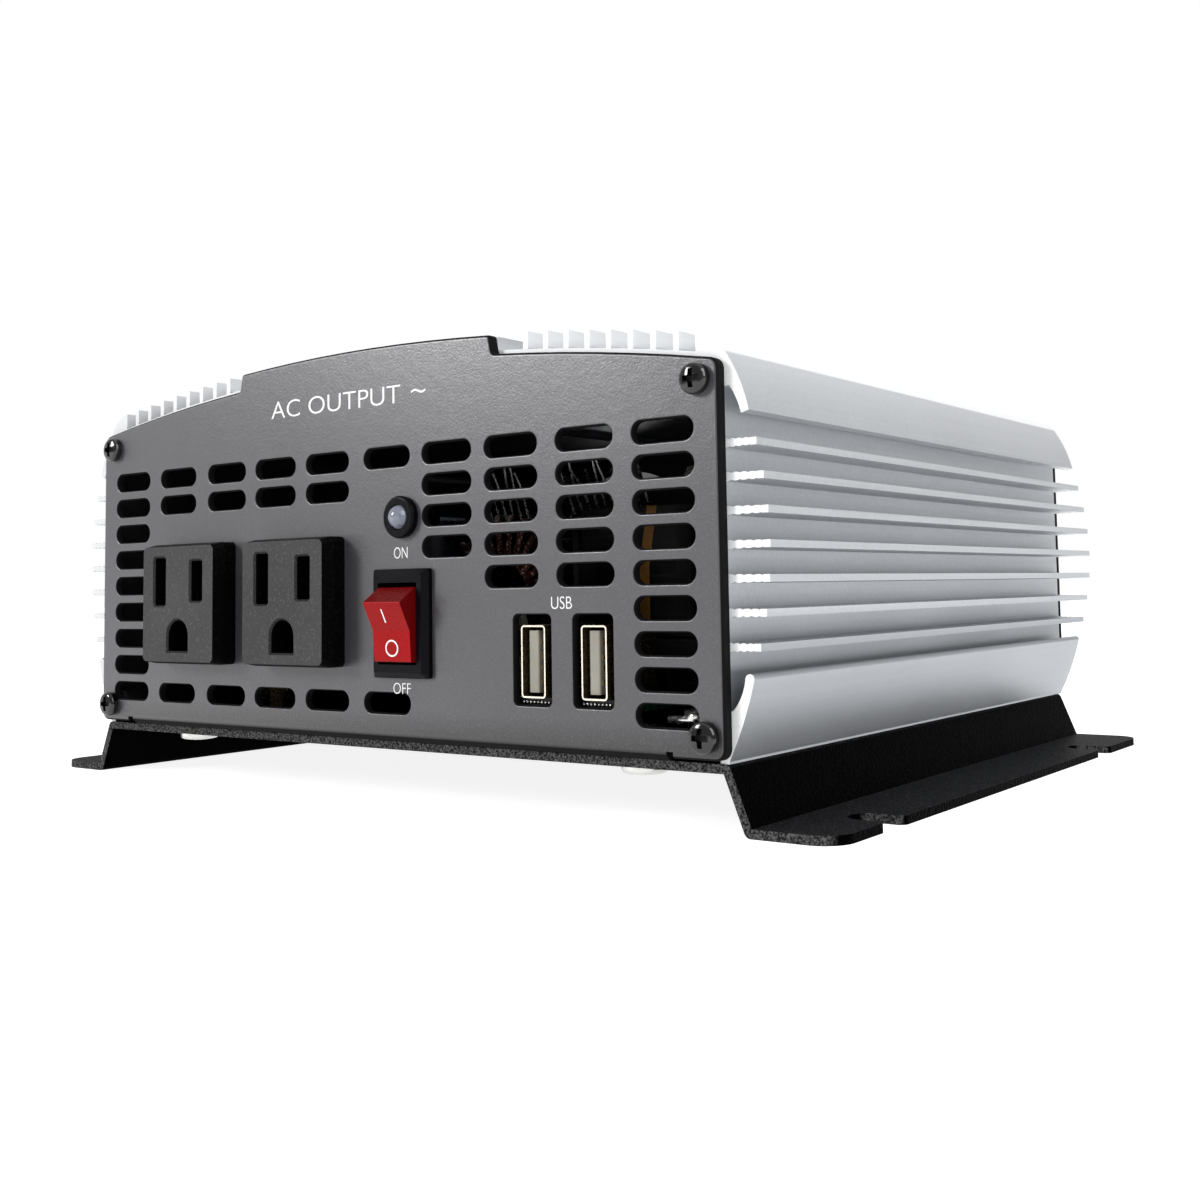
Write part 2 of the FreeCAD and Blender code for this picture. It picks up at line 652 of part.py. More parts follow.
def blade_contact(x, height):
    half, leaf, y0, y1 = BLADE_SLOT_WIDTH / 2 - 0.05, 0.6, 9.0, 23.0
    z0, z1 = BLADE_Z - height / 2 + 0.6, BLADE_Z + height / 2 - 0.6
    pocket = box(x - half + leaf, x + half - leaf, y0 - 1, y1 - leaf, z0 - 1, z1 + 1)
    clip = box(x - half, x + half, y0, y1, z0, z1).cut(pocket)
    tab = box(x - 0.4, x + 0.4, y1 - 0.1, 31.0, BLADE_Z - 2.4, BLADE_Z + 2.4)
    return joined([clip, tab])


def outlet_contacts(x):
    below = box(x - 4, x + 4, 9, 24, EARTH_FLAT_Z - 2, EARTH_FLAT_Z + 0.1)
    sleeve = joined([tube_y(x, EARTH_Z, 3.2, 2.5, 10.0, 22.0), rod_y(x, EARTH_Z, 3.2, 22.0, 23.0)])
    tab = box(x - 2.4, x + 2.4, 22.9, 31.0, EARTH_Z - 0.4, EARTH_Z + 0.4)
    earth = joined([sleeve.cut(below), tab])
    neutral = blade_contact(x - BLADE_OFFSET, NEUTRAL_SLOT_HEIGHT)
    hot = blade_contact(x + BLADE_OFFSET, HOT_SLOT_HEIGHT)
    return Part.makeCompound([neutral, hot, earth])


# Rocker switch

def switch_body():
    x, z = SWITCH_X, SWITCH_Z
    front, back = -SWITCH_PROUD, -SWITCH_PROUD + SWITCH_BEVEL
    face = rounded_wire(x, z, SWITCH_WIDTH - 2 * SWITCH_BEVEL, SWITCH_HEIGHT - 2 * SWITCH_BEVEL, 0.5, front)
    bevel = Part.makeLoft([face, rounded_wire(x, z, SWITCH_WIDTH, SWITCH_HEIGHT, 0.5, back)], True, True)
    bezel = joined([bevel, rounded_box_y(x, z, SWITCH_WIDTH, SWITCH_HEIGHT, 0.5, back, 0)])
    barrel = rounded_box_y(x, z, SWITCH_BODY_WIDTH, SWITCH_BODY_HEIGHT, 0.6, 0, SWITCH_BODY_BACK)
    mouth = rounded_box_y(x, z, SWITCH_MOUTH_WIDTH, SWITCH_MOUTH_HEIGHT, 0.4, -SWITCH_PROUD - 1, 3.0)
    cavity = rounded_box_y(x, z, SWITCH_MOUTH_WIDTH, 17.0, 0.4, 0.0, SWITCH_BODY_BACK - 2)
    pivot = rod_x(ROCKER_PIVOT_Y, z, ROCKER_PIN_R + PIVOT_CLEARANCE, x - 6.2, x + 6.2)
    return without(joined([bezel, barrel]), [mouth, cavity, pivot])


def switch_rocker():
    """The rocker with its lower, off end pressed in and its upper, on end standing out."""
    x, half = SWITCH_X, ROCKER_WIDTH / 2
    side = [(-6.07, 5.92), (-1.2, 7.55), (2.5, 6.0), (5.0, 2.5)]
    profile = [(-4.9, 0.0)] + side + [(y, -z) for y, z in reversed(side)]
    points = [V(x - half, ROCKER_PIVOT_Y + y, SWITCH_Z + z) for y, z in profile]
    body = prism(points, V(ROCKER_WIDTH, 0, 0))
    tips = straight_edges(body, X_AXIS, lambda m: m.y < ROCKER_PIVOT_Y - 1)
    body = body.makeFillet(0.35, tips)
    pins = rod_x(ROCKER_PIVOT_Y, SWITCH_Z, ROCKER_PIN_R, x - 6.0, x + 6.0)
    rocker = joined([body, pins])
    rocker.rotate(V(x, ROCKER_PIVOT_Y, SWITCH_Z), X_AXIS, ROCKER_TILT)
    return rocker


def switch_terminals():
    blade = box(SWITCH_X - 2.4, SWITCH_X + 2.4, SWITCH_BODY_BACK, SWITCH_BODY_BACK + 8.0, -0.4, 0.4)
    return Part.makeCompound([blade.translated(V(0, 0, SWITCH_Z + dz)) for dz in (-5.5, 5.5)])


# Indicator lamp

def lamp_holder():
    ring = rod_y(LAMP_X, LAMP_Z, LAMP_RING_R, -LAMP_RING_PROUD, 0)
    ring = ring.makeFillet(0.6, edges_at_y(ring, -LAMP_RING_PROUD))
    sleeve = rod_y(LAMP_X, LAMP_Z, 3.2, 0, 7.0)
    bore = rod_y(LAMP_X, LAMP_Z, LAMP_R + 0.05, -5, 8)
    seat = rod_y(LAMP_X, LAMP_Z, 2.9, 3.0, 8)
    return without(joined([ring, sleeve]), [bore, seat])


def lamp_lens():
    dome_y = LAMP_R - LAMP_PROUD
    stem = rod_y(LAMP_X, LAMP_Z, LAMP_R, dome_y, 3.0)
    dome = Part.makeSphere(LAMP_R, V(LAMP_X, dome_y, LAMP_Z))
    flange = rod_y(LAMP_X, LAMP_Z, 2.85, 3.0, 4.6)
    return Part.makeCompound([joined([stem, dome, flange])] + lamp_leads())


def lamp_leads():
    z0, z1 = LAMP_Z - 0.25, LAMP_Z + 0.25
    return [box(LAMP_X + dx - 0.25, LAMP_X + dx + 0.25, 4.6, 16.0, z0, z1) for dx in (-1.27, 1.27)]


# USB ports

def usb_shell(x):
    y0 = 0.3
    outer = rounded_box_y(x, USB_Z, USB_WIDTH, USB_HEIGHT, 0.7, y0, y0 + USB_DEPTH)
    width, height = USB_WIDTH - 2 * USB_SKIN, USB_HEIGHT - 2 * USB_SKIN
    inner = rounded_box_y(x, USB_Z, width, height, 0.4, y0 - 1, y0 + USB_DEPTH - USB_SKIN)
    return outer.cut(inner)


def usb_tongue(x):
    left = x - USB_WIDTH / 2 + USB_TONGUE_LEFT
    right = left + USB_TONGUE_THICK
    half = USB_TONGUE_HEIGHT / 2
    blade = box(left, right, 1.0, 12.0, USB_Z - half, USB_Z + half)
    blade = blade.makeFillet(0.3, straight_edges(blade, Z_AXIS, lambda m: m.y < 2))
    inset = USB_SKIN + 0.05
    width, height = USB_WIDTH - 2 * inset, USB_HEIGHT - 2 * inset
    return joined([blade, rounded_box_y(x, USB_Z, width, height, 0.5, 11.0, 14.9)])


def usb_contacts(x):
    face = x - USB_WIDTH / 2 + USB_TONGUE_LEFT + USB_TONGUE_THICK
    strips = []
    for dz in (-3.5, -1.0, 1.0, 3.5):
        strips.append(box(face, face + 0.2, 1.8, 11.0, USB_Z + dz - 0.5, USB_Z + dz + 0.5))
    return Part.makeCompound(strips)


def usb_board():
    return box(37.0, 69.0, 2.0, 30.5, BOARD_UNDERSIDE, BOARD_TOP)


def usb_board_parts():
    coil = rod_z(52.5, 24.0, 4.5, BOARD_TOP, BOARD_TOP + 5.5)
    chip = box(62.0, 67.0, 20.0, 26.0, BOARD_TOP, BOARD_TOP + 1.6)
    capacitor = rod_z(41.5, 23.0, 3.1, BOARD_TOP, BOARD_TOP + 11.0)
    return Part.makeCompound([coil, chip, capacitor])


# Main board and what stands on it

def standoff_spots():
    main = [(side * 71.0, y) for side in (-1, 1) for y in (38.0, 86.0, 135.0)]
    return main + [(40.0, 28.0), (66.0, 28.0)]


def main_board():
    board = box(-BOARD_HALF, BOARD_HALF, BOARD_FRONT, BOARD_BACK, BOARD_UNDERSIDE, BOARD_TOP)
    holes = [rod_z(x, y, 1.6, BOARD_UNDERSIDE - 1, BOARD_TOP + 1) for x, y in standoff_spots()[:6]]
    return without(board, holes)


def board_standoffs():
    height = BOARD_UNDERSIDE - PLATE_TOP
    post = hex_nut(5.5, 1.5, height)
    return Part.makeCompound([placed(post, V(x, y, PLATE_TOP), Z_AXIS) for x, y in standoff_spots()])


def board_screws():
    screw = pan_head_screw(2.6, 1.9, BOARD_SCREW_R, 6.0)
    return Part.makeCompound([placed(screw, V(x, y, BOARD_TOP), Z_AXIS) for x, y in standoff_spots()[:6]])


def transformer_core(y):
    x, z = TRANSFORMER_X, CORE_BASE + CORE_HEIGHT / 2
    half_x, half_y = CORE_WIDTH / 2, CORE_DEPTH / 2
    core = box(x - half_x, x + half_x, y - half_y, y + half_y, CORE_BASE, CORE_BASE + CORE_HEIGHT)
    windows = []
    for side in (-1, 1):
        centre = x + side * (CORE_LEG + WINDOW_WIDTH) / 2
        window = (centre - WINDOW_WIDTH / 2, centre + WINDOW_WIDTH / 2, y - CORE_DEPTH, y + CORE_DEPTH)
        windows.append(box(*window, z - WINDOW_HEIGHT / 2, z + WINDOW_HEIGHT / 2))
    return without(core, windows)


def transformer_winding(y):
    x, z = TRANSFORMER_X, CORE_BASE + CORE_HEIGHT / 2
    half_x = CORE_LEG / 2 + WINDOW_WIDTH - 0.4
    half_y = CORE_DEPTH / 2 + 10.0
    half_z = WINDOW_HEIGHT / 2 - 0.4
    coil = box(x - half_x, x + half_x, y - half_y, y + half_y, z - half_z, z + half_z)
    coil = coil.makeFillet(5.0, straight_edges(coil, Z_AXIS))
    leg_x, leg_y = CORE_LEG / 2 + 0.2, CORE_DEPTH / 2 + 0.2
    return coil.cut(box(x - leg_x, x + leg_x, y - leg_y, y + leg_y, 0, 99))


def transformer_bobbin(y):
    x, z = TRANSFORMER_X, CORE_BASE + CORE_HEIGHT / 2 - WINDOW_HEIGHT / 2
    rails = []
    for side in (-1, 1):
        middle = y + side * (CORE_DEPTH / 2 + 5.3)
        rails.append(box(x - 16.0, x + 16.0, middle - 4.7, middle + 4.7, BOARD_TOP, z - 0.2))
    return Part.makeCompound(rails)


def choke_core():
    y0, y1 = CHOKE_Y - CHOKE_DEPTH / 2, CHOKE_Y + CHOKE_DEPTH / 2
    return tube_y(CHOKE_X, CHOKE_Z, CHOKE_R, CHOKE_HOLE_R, y0, y1)


def choke_winding():
    """Separate turns of thick wire around the ring, left as a gap at the bottom where the leads leave."""
    turns = []
    wire, count = 1.6, 22
    near, far = CHOKE_HOLE_R - 0.1, CHOKE_R + 0.1
    half = CHOKE_DEPTH / 2 + 0.1
    outer = box(near - wire, far + wire, -half - wire, half + wire, -wire / 2, wire / 2)
    outer = outer.makeFillet(0.45 * wire, straight_edges(outer, Y_AXIS))
    loop = outer.cut(box(near, far, -half, half, -wire, wire))
    for k in range(count):
        turn = loop.copy()
        turn.rotate(V(0, 0, 0), Y_AXIS, -(k - (count - 1) / 2) * 14.0 - 90)
        turn.translate(V(CHOKE_X, CHOKE_Y, CHOKE_Z))
        turns.append(turn)
    return Part.makeCompound(turns)


def can(x, y, radius, height):
    body = rod_z(x, y, radius, BOARD_TOP, BOARD_TOP + height)
    rims = [e for e in body.Edges if not isinstance(e.Curve, Part.Line)]
    return body.makeFillet(0.6, rims)


def storage_capacitors():
    return Part.makeCompound([can(-30.0, y, 11.0, 36.0) for y in (52.0, 80.0)])


def input_capacitors():
    return Part.makeCompound([can(x, y, 5.2, 22.0) for x in (-12.0, 2.0) for y in (104.0, 118.0, 132.0)])


def transistor(x, y, side):
    """An upright power transistor whose metal tab lies against a side wall."""
    back = x + side * 4.4
    tab = box(*sorted((back, back - side * 1.3)), y - 5.1, y + 5.1, 33.0, 45.0)
    body = box(*sorted((back - side * 1.3, x)), y - 5.1, y + 5.1, 27.0, 37.0)
    near, far = sorted((x + side * 1.6, x + side * 2.2))
    legs = [box(near, far, y + dy - 0.4, y + dy + 0.4, BOARD_TOP, 27.0) for dy in (-2.54, 0, 2.54)]
    return joined([tab, body] + legs)


def transistors(side):
    return Part.makeCompound([transistor(side * TRANSISTOR_X, y, side) for y in TRANSISTOR_ROWS])


def heat_spreaders():
    """The blocks between the transistors' tabs and the housing walls."""
    block = box(TRANSISTOR_X + 4.5, WALL_OUT - WALL - 0.1, 44.0, 130.0, 27.0, 56.0)
    return Part.makeCompound(both_sides(block))


def transistor_clamps():
    bar = box(TRANSISTOR_X - 2.1, TRANSISTOR_X - 0.1, 46.0, 128.0, 30.0, 35.0)
    return Part.makeCompound(both_sides(bar))


def blade_fuses():
    fuses = []
    for x in (39.0, 45.0, 51.0):
        body = box(x - 2.0, x + 2.0, 123.5, 138.5, BOARD_TOP + 6, BOARD_TOP + 16)
        blades = [box(x - 0.4, x + 0.4, y - 2.5, y + 2.5, BOARD_TOP, BOARD_TOP + 6) for y in (127.0, 135.0)]
        fuses.append(joined([body] + blades))
    return Part.makeCompound(fuses)


# Fan

def fan_hole_spots():
    half = FAN_HOLE_PITCH / 2
    return [(FAN_X + dx * half, FAN_Z + dz * half) for dx in (-1, 1) for dz in (-1, 1)]


def fan_frame():
    frame = rounded_box_y(FAN_X, FAN_Z, FAN_SIZE, FAN_SIZE, 4.0, FAN_FRONT, FAN_BACK)
    holes = [rod_y(x, z, 2.15, FAN_FRONT - 1, FAN_BACK + 1) for x, z in fan_hole_spots()]
    frame = without(frame, [rod_y(FAN_X, FAN_Z, FAN_BORE_R, FAN_FRONT - 1, FAN_BACK + 1)] + holes)
    plate = rod_y(FAN_X, FAN_Z, FAN_HUB_R, FAN_FRONT, FAN_FRONT + 2.5)
    struts = []
    for angle in (45, 135, 225, 315):
        strut = box(FAN_HUB_R - 2, FAN_BORE_R + 1, FAN_FRONT, FAN_FRONT + 2.5, -1.6, 1.6)
        strut.rotate(V(0, 0, 0), Y_AXIS, angle)
        strut.translate(V(FAN_X, 0, FAN_Z))
        struts.append(strut)
    stator = rod_y(FAN_X, FAN_Z, 8.5, FAN_FRONT + 2.5, FAN_FRONT + 13.0)
    bore = rod_y(FAN_X, FAN_Z, FAN_SHAFT_R + PIVOT_CLEARANCE, FAN_FRONT + 1, FAN_FRONT + 14)
    return without(joined([frame, plate, stator] + struts), [bore])


def fan_blade(angle):
    sheet = box(FAN_HUB_R - 0.6, FAN_BLADE_R + 4, -0.7, 0.7, -10.5, 10.5)
    sheet.rotate(V(0, 0, 0), X_AXIS, -52)
    sheet.translate(V(0, FAN_FRONT + 11.5, 0))
    sheet.rotate(V(0, 0, 0), Y_AXIS, angle)
    return sheet


def fan_rotor():
    y0, y1 = FAN_FRONT + 3.5, FAN_BACK - 1.5
    ring = tube_y(0, 0, FAN_BLADE_R, FAN_HUB_R - 0.5, y0 + 1, y1 - 0.5)
    blades = joined([fan_blade(k * 360 / FAN_BLADES) for k in range(FAN_BLADES)]).common(ring)
    cup = rod_y(0, 0, FAN_HUB_R, y0, y1)
    cup = cup.makeFillet(1.2, edges_at_y(cup, y1))
    cup = cup.cut(rod_y(0, 0, FAN_HUB_R - 1.8, y0 - 1, y1 - 2.0))
    shaft = rod_y(0, 0, FAN_SHAFT_R, FAN_FRONT + 2.0, y1 - 1)
    rotor = joined([cup, shaft] + blades.Solids)
    rotor.translate(V(FAN_X, 0, FAN_Z))
    return rotor


def wire_ring(x, z, radius, y):
    return Part.makeTorus(radius, GUARD_WIRE_R, V(x, y, z), Y_AXIS)


def fan_guard():
    y = PANEL_BACK_FACE + GUARD_WIRE_R + 0.05
    rings = [wire_ring(FAN_X, FAN_Z, radius, y) for radius in (8.0, 14.5, 21.0, 27.5)]
    rings += [wire_ring(x, z, 3.0, y) for x, z in fan_hole_spots()]
    spokes = []
    for angle in (45, 135, 225, 315):
        spoke = rod_x(y + 1.1, 0, GUARD_WIRE_R, 7.6, 31.7)
        spoke.rotate(V(0, 0, 0), Y_AXIS, angle)
        spoke.translate(V(FAN_X, 0, FAN_Z))
        spokes.append(spoke)
    return joined(rings + spokes)


def fan_screws():
    seat = PANEL_BACK_FACE + 2 * GUARD_WIRE_R + 0.1
    screw = pan_head_screw(3.4, 2.4, 1.95, 26.0)
    return Part.makeCompound([placed(screw, V(x, seat, z), Y_AXIS) for x, z in fan_hole_spots()])


def fan_nuts():
    nut = hex_nut(7.0, 2.0, 3.0)
    spots = fan_hole_spots()
    return Part.makeCompound([placed(nut, V(x, FAN_FRONT, z), V(0, -1, 0)) for x, z in spots])


# Battery terminals

def terminal_base(x):
    y0, y1 = PANEL_BACK_FACE, PANEL_BACK_FACE + TERMINAL_BASE_THICK
    flange = rounded_box_y(x, TERMINAL_Z, TERMINAL_BASE, TERMINAL_BASE, 4.0, y0, y1)
    flange = flange.makeFillet(1.0, edges_at_y(flange, y1))
    shoulder = rod_y(x, TERMINAL_Z, 8.0, y0 - 5.0, y0)
    return joined([flange, shoulder]).cut(rod_y(x, TERMINAL_Z, TERMINAL_STUD_R + 0.05, y0 - 9, y1 + 1))


def terminal_stud(x):
    y = PANEL_BACK_FACE + TERMINAL_BASE_THICK
    stud = rod_y(x, TERMINAL_Z, TERMINAL_STUD_R, 148.0, KNOB_BACK - 1.6)
    return joined([stud, rod_y(x, TERMINAL_Z, 7.0, y, y + 1.6)])


def terminal_knob(x):
    y0 = PANEL_BACK_FACE + TERMINAL_BASE_THICK + 2.4
    knob = rod_y(x, TERMINAL_Z, KNOB_R, y0, KNOB_BACK)
    knob = knob.makeFillet(1.2, edges_at_y(knob, KNOB_BACK))
    flutes = []
    for k in range(KNOB_FLUTES):
        turn, reach = 2 * math.pi * k / KNOB_FLUTES, KNOB_R + 0.4
        spot = (x + reach * math.cos(turn), TERMINAL_Z + reach * math.sin(turn))
        flutes.append(rod_y(*spot, 1.3, y0 - 1, KNOB_BACK + 1))
    bore = rod_y(x, TERMINAL_Z, TERMINAL_STUD_R + PIVOT_CLEARANCE, y0 - 1, KNOB_BACK - 1.4)
    return without(knob, flutes + [bore])


def terminal_hardware(x):
    """Inside the case: a washer, a nut, the cable's ring lug and a second nut."""
    washer = tube_y(x, TERMINAL_Z, 10.0, TERMINAL_STUD_R + 0.05, 159.9, 161.3)
    nut = hex_nut(13.0, TERMINAL_STUD_R + 0.05, 4.5)
    nuts = [placed(nut, V(x, y, TERMINAL_Z), Y_AXIS) for y in (155.3, 149.2)]
    lug = tube_y(x, TERMINAL_Z, 7.0, TERMINAL_STUD_R + 0.05, 153.8, 155.2)
    barrel = rod_z(x, 151.5, 4.0, 33.0, 41.5)
    neck = box(x - 3.0, x + 3.0, 153.8, 155.2, 38.0, 46.0)
    return Part.makeCompound([washer, nuts[0], nuts[1], joined([lug, neck, barrel])])


def battery_cables():
    route = ((151.5, 32.6), (149.0, 27.5), (142.0, 25.0), (134.0, 24.5))
    return Part.makeCompound([wire_run([(x, y, z) for y, z in route], 3.0) for x in TERMINAL_X.values()])


def earth_fasteners():
    seat = V(EARTH_STUD_X, PANEL_BACK_FACE + 1.1, EARTH_STUD_Z)
    screw = placed(pan_head_screw(4.2, 2.8, 2.5, 14.0), seat, Y_AXIS)
    washer = tube_y(EARTH_STUD_X, EARTH_STUD_Z, 5.2, 2.55, PANEL_BACK_FACE + 0.05, PANEL_BACK_FACE + 1.05)
    nut = placed(hex_nut(8.0, 2.55, 4.0), V(EARTH_STUD_X, BACK_SHEET_IN - 0.1, EARTH_STUD_Z), V(0, -1, 0))
    return Part.makeCompound([screw, washer, nut])


# Wiring

def outlet_wires():
    runs = []
    for x in OUTLET_X.values():
        for dx, z in ((-BLADE_OFFSET, BLADE_Z), (BLADE_OFFSET, BLADE_Z), (0.0, EARTH_Z)):
            route = ((31.8, z), (36.0, z - 1.5), (39.5, 27.0), (39.6, 24.5), (39.6, BOARD_TOP + 0.4))
            runs.append(wire_run([(x + dx, y, height) for y, height in route], 1.3))
    return Part.makeCompound(runs)


def switch_wires():
    y = SWITCH_BODY_BACK + 8.2
    runs = []
    for dz, dx in ((-5.5, -1.5), (5.5, 1.5)):
        z = SWITCH_Z + dz
        route = ((y, z), (y + 6, z - 1), (y + 10.4, 25.5), (y + 10.5, 23.5), (y + 10.5, BOARD_TOP + 0.1))
        runs.append(wire_run([(SWITCH_X + dx, *point) for point in route], 0.9))
    return Part.makeCompound(runs)


SINGLE_NODES = {
    "housing_extrusion": housing_extrusion,
    "front_panel": front_panel,
    "rear_panel": rear_panel,
    "base_plate": base_plate,
    "base_screws": base_screws,
    "base_nuts": base_nuts,
    "switch_body": switch_body,
    "switch_rocker": switch_rocker,
    "switch_terminals": switch_terminals,
    "lamp_holder": lamp_holder,
    "lamp_lens": lamp_lens,
    "usb_board": usb_board,
    "usb_board_parts": usb_board_parts,
    "main_board": main_board,
    "board_standoffs": board_standoffs,
    "board_screws": board_screws,
    "choke_core": choke_core,
    "choke_winding": choke_winding,
    "transistor_clamps": transistor_clamps,
    "heat_spreaders": heat_spreaders,
    "storage_capacitors": storage_capacitors,
    "input_capacitors": input_capacitors,
    "blade_fuses": blade_fuses,
    "fan_frame": fan_frame,
    "fan_rotor": fan_rotor,
    "fan_guard": fan_guard,
    "fan_screws": fan_screws,
    "fan_nuts": fan_nuts,
    "earth_fasteners": earth_fasteners,
    "battery_cables": battery_cables,
    "outlet_wires": outlet_wires,
    "switch_wires": switch_wires,
}

REPEATED_NODES = [
    ("outlet_body", outlet_body, OUTLET_X),
    ("outlet_contacts", outlet_contacts, OUTLET_X),
    ("usb_shell", usb_shell, USB_X),
    ("usb_tongue", usb_tongue, USB_X),
    ("usb_contacts", usb_contacts, USB_X),
    ("transformer_core", transformer_core, TRANSFORMER_Y),
    ("transformer_winding", transformer_winding, TRANSFORMER_Y),
    ("transformer_bobbin", transformer_bobbin, TRANSFORMER_Y),
    ("transistors", transistors, {"left": -1, "right": 1}),
    ("terminal_base", terminal_base, TERMINAL_X),
    ("terminal_stud", terminal_stud, TERMINAL_X),
    ("terminal_knob", terminal_knob, TERMINAL_X),
    ("terminal_hardware", terminal_hardware, TERMINAL_X),
]


def save(name, shape):
    """Write one node, moved so that the origin is under the middle of the whole inverter."""
    shape = shape.copy()
    shape.translate(V(0, -DEPTH_CENTRE, 0))
    shape.exportStep(f"parts/{name}.step")


def main():
    os.makedirs("parts", exist_ok=True)
    for name, build in SINGLE_NODES.items():
        save(name, build())
    for stem, build, places in REPEATED_NODES:
        for place, value in places.items():
            save(f"{stem}_{place}", build(value))
    save("front_panel_screws", panel_screws(0.0, V(0, -1, 0)))
    save("rear_panel_screws", panel_screws(PANEL_BACK_FACE, Y_AXIS))


main()
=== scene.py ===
import json
import math

import bmesh
import bpy
from mathutils import Matrix, Vector
from mathutils.bvhtree import BVHTree


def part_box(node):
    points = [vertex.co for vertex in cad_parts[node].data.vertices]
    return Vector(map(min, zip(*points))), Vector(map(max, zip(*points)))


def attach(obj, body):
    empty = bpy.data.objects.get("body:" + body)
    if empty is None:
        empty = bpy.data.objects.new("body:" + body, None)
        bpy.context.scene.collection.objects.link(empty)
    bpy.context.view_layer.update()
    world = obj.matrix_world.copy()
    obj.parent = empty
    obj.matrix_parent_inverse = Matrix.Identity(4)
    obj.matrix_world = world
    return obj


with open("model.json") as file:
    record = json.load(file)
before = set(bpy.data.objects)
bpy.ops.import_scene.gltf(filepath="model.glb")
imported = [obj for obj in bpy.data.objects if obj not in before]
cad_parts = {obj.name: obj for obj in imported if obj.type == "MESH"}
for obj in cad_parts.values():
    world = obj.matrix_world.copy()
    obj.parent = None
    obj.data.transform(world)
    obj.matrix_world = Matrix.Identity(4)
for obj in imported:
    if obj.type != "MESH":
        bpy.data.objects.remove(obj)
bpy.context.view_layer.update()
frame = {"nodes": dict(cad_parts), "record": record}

nodes = frame["nodes"]

MM = 0.001

# The front panel's low corner, and its face, which the markings and the small fittings are set out from
PANEL_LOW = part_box("front_panel")[0]
PANEL_Y = PANEL_LOW.y

# The heights above the panel's lower edge over which painted shade darkens its coat towards the fold there
LIP_LOW = 0.002
LIP_HIGH = 0.0065

# The housing's arched ceiling: its height in the middle, and how it falls away towards the sides
ROOF_INSIDE_Z = 0.0846
ROOF_CURVE = 1.014

# Narrow bands at the edges of the housing's regions. Across: the inner wall, and the line where the raised
# crown ends and the ribbed roof begins. Above the ceiling: the ceiling's own skin, and the ribs' crests
WALL_BAND = (0.0841, 0.0838)
CROWN_BAND = (0.0370, 0.0375)
CEILING_BAND = (0.0004, 0.0001)
CREST_BAND = (0.0024, 0.0028)

# Bands over which painted light and shade change the bare aluminium's tone: painted shade on the lower
# skirt, a painted highlight on the upper hook, and painted shade towards the left side and on the sawn ends
# there
SKIRT_SHADE_BAND = (0.037, 0.030)
HOOK_HIGHLIGHT_BAND = (0.066, 0.074)
LEFT_SHADE_BAND = (-0.020, -0.070)
LEFT_END_SHADE_BAND = (-0.040, -0.085)

# The heights above the panel between which a screw's surface changes from its head to its recess
RECESS_BAND = (0.0010, 0.0008)

# The amber strap around the transformers' windings: its middle, how far from its middle it ends, the height
# of its bend, and how steeply it leans outwards above that
STRAP_X = 0.0449
STRAP_EDGE = (0.0011, 0.0013)
STRAP_BEND_Z = 0.045
STRAP_LEAN = 0.17

# The part of its 0 to 1 range that a noise texture mostly stays in
NOISE_LOW = 0.3
NOISE_HIGH = 0.7

# Lettering as it is first set: its depth, and how much its strokes are thinned
LETTER_DEPTH = 0.01
LETTER_THINNING = -0.012

# The gap under a printed mark, and the scale from a letter's depth to the thickness of its ink
INK_GAP = 0.00003
INK_DEPTH = 0.002

# How far in front of the panel the search for a marked surface starts
SEARCH_START = 0.05

# Printed words: name, words, left edge, base line, height and width
PANEL_WORDS = (
    ("marking_output", "AC OUTPUT", -0.0259, 0.0776, 0.0036, 0.0385),
    ("marking_sine", "~", 0.0155, 0.0790, 0.0009, 0.0040),
    ("marking_on", "ON", 0.0107, 0.0471, 0.0022, 0.0037),
    ("marking_off", "OFF", 0.0104, 0.0210, 0.0021, 0.0047),
    ("marking_usb", "USB", 0.0502, 0.0371, 0.0022, 0.0047),
)

# The rocker's printed line and ring
LINE_OFFSET = 0.0006
LINE_HALF = 0.00017
LINE_TOP, LINE_BASE = 0.0374, 0.0348
RING_Z = 0.0299
RING_INNER = (0.00140, 0.00130)
RING_OUTER = (0.00173, 0.00163)
RING_STEPS = 40

# Rounded edges, in millimetres
SOFT_EDGES = {
    "base_plate": 0.3,
    "terminal_base_positive": 0.3,
    "terminal_base_negative": 0.3,
    "switch_body": 0.2,
    "outlet_body_left": 0.3,
    "outlet_body_right": 0.3,
}

# Edges sharper than this, in degrees, are rounded
SOFT_ANGLE = 35

# The soldered pins under each USB port, in millimetres: how many, the first one's distance left of the
# port's middle, their spacing, their depth and height behind the panel, and their half sizes
PINS = 8
PIN_START = 3.6
PIN_STEP = 0.84
PIN_Y = 1.9
PIN_Z = 20.35
PIN_HALVES = (0.26, 0.22, 0.34)

# The tinned winding ends, in millimetres: their spacing, their radius, and the share of a wire's sway that
# it has half-way up and at its tip
TAIL_STEP = 2.2
TAIL_RADIUS = 0.3
SWAY_MIDDLE = 0.3
SWAY_TIP = 0.6

# The corner clip, in millimetres: its outline across and up, its front, its depth and its rounded edge
CLIP_OUTLINE = ((72.6, 17.6), (79.4, 17.6), (79.4, 20.1), (76.0, 20.1), (76.0, 18.8), (72.6, 18.8))
CLIP_Y = 3.2
CLIP_DEPTH = 3.0
CLIP_ROUND = 0.18

# The camera: its place, its angles in degrees, its lens and sensor in millimetres, and its framing
CAMERA_PLACE = (0.206577, PANEL_Y - 0.189205, 0.040485)
CAMERA_TURN = 35.383
CAMERA_RISE = 4.244
CAMERA_ROLL = -1.023
CAMERA_LENS = 41.142
CAMERA_SENSOR = 36.0
CAMERA_SHIFT = (-0.0417, -0.0947)

# The way from the object towards the middle of the white surround, and what the lights aim at
BACKDROP_HEADING = (-0.8, 0.6, 0.0)
LIGHT_TARGET = (0.0, 0.0, 0.045)

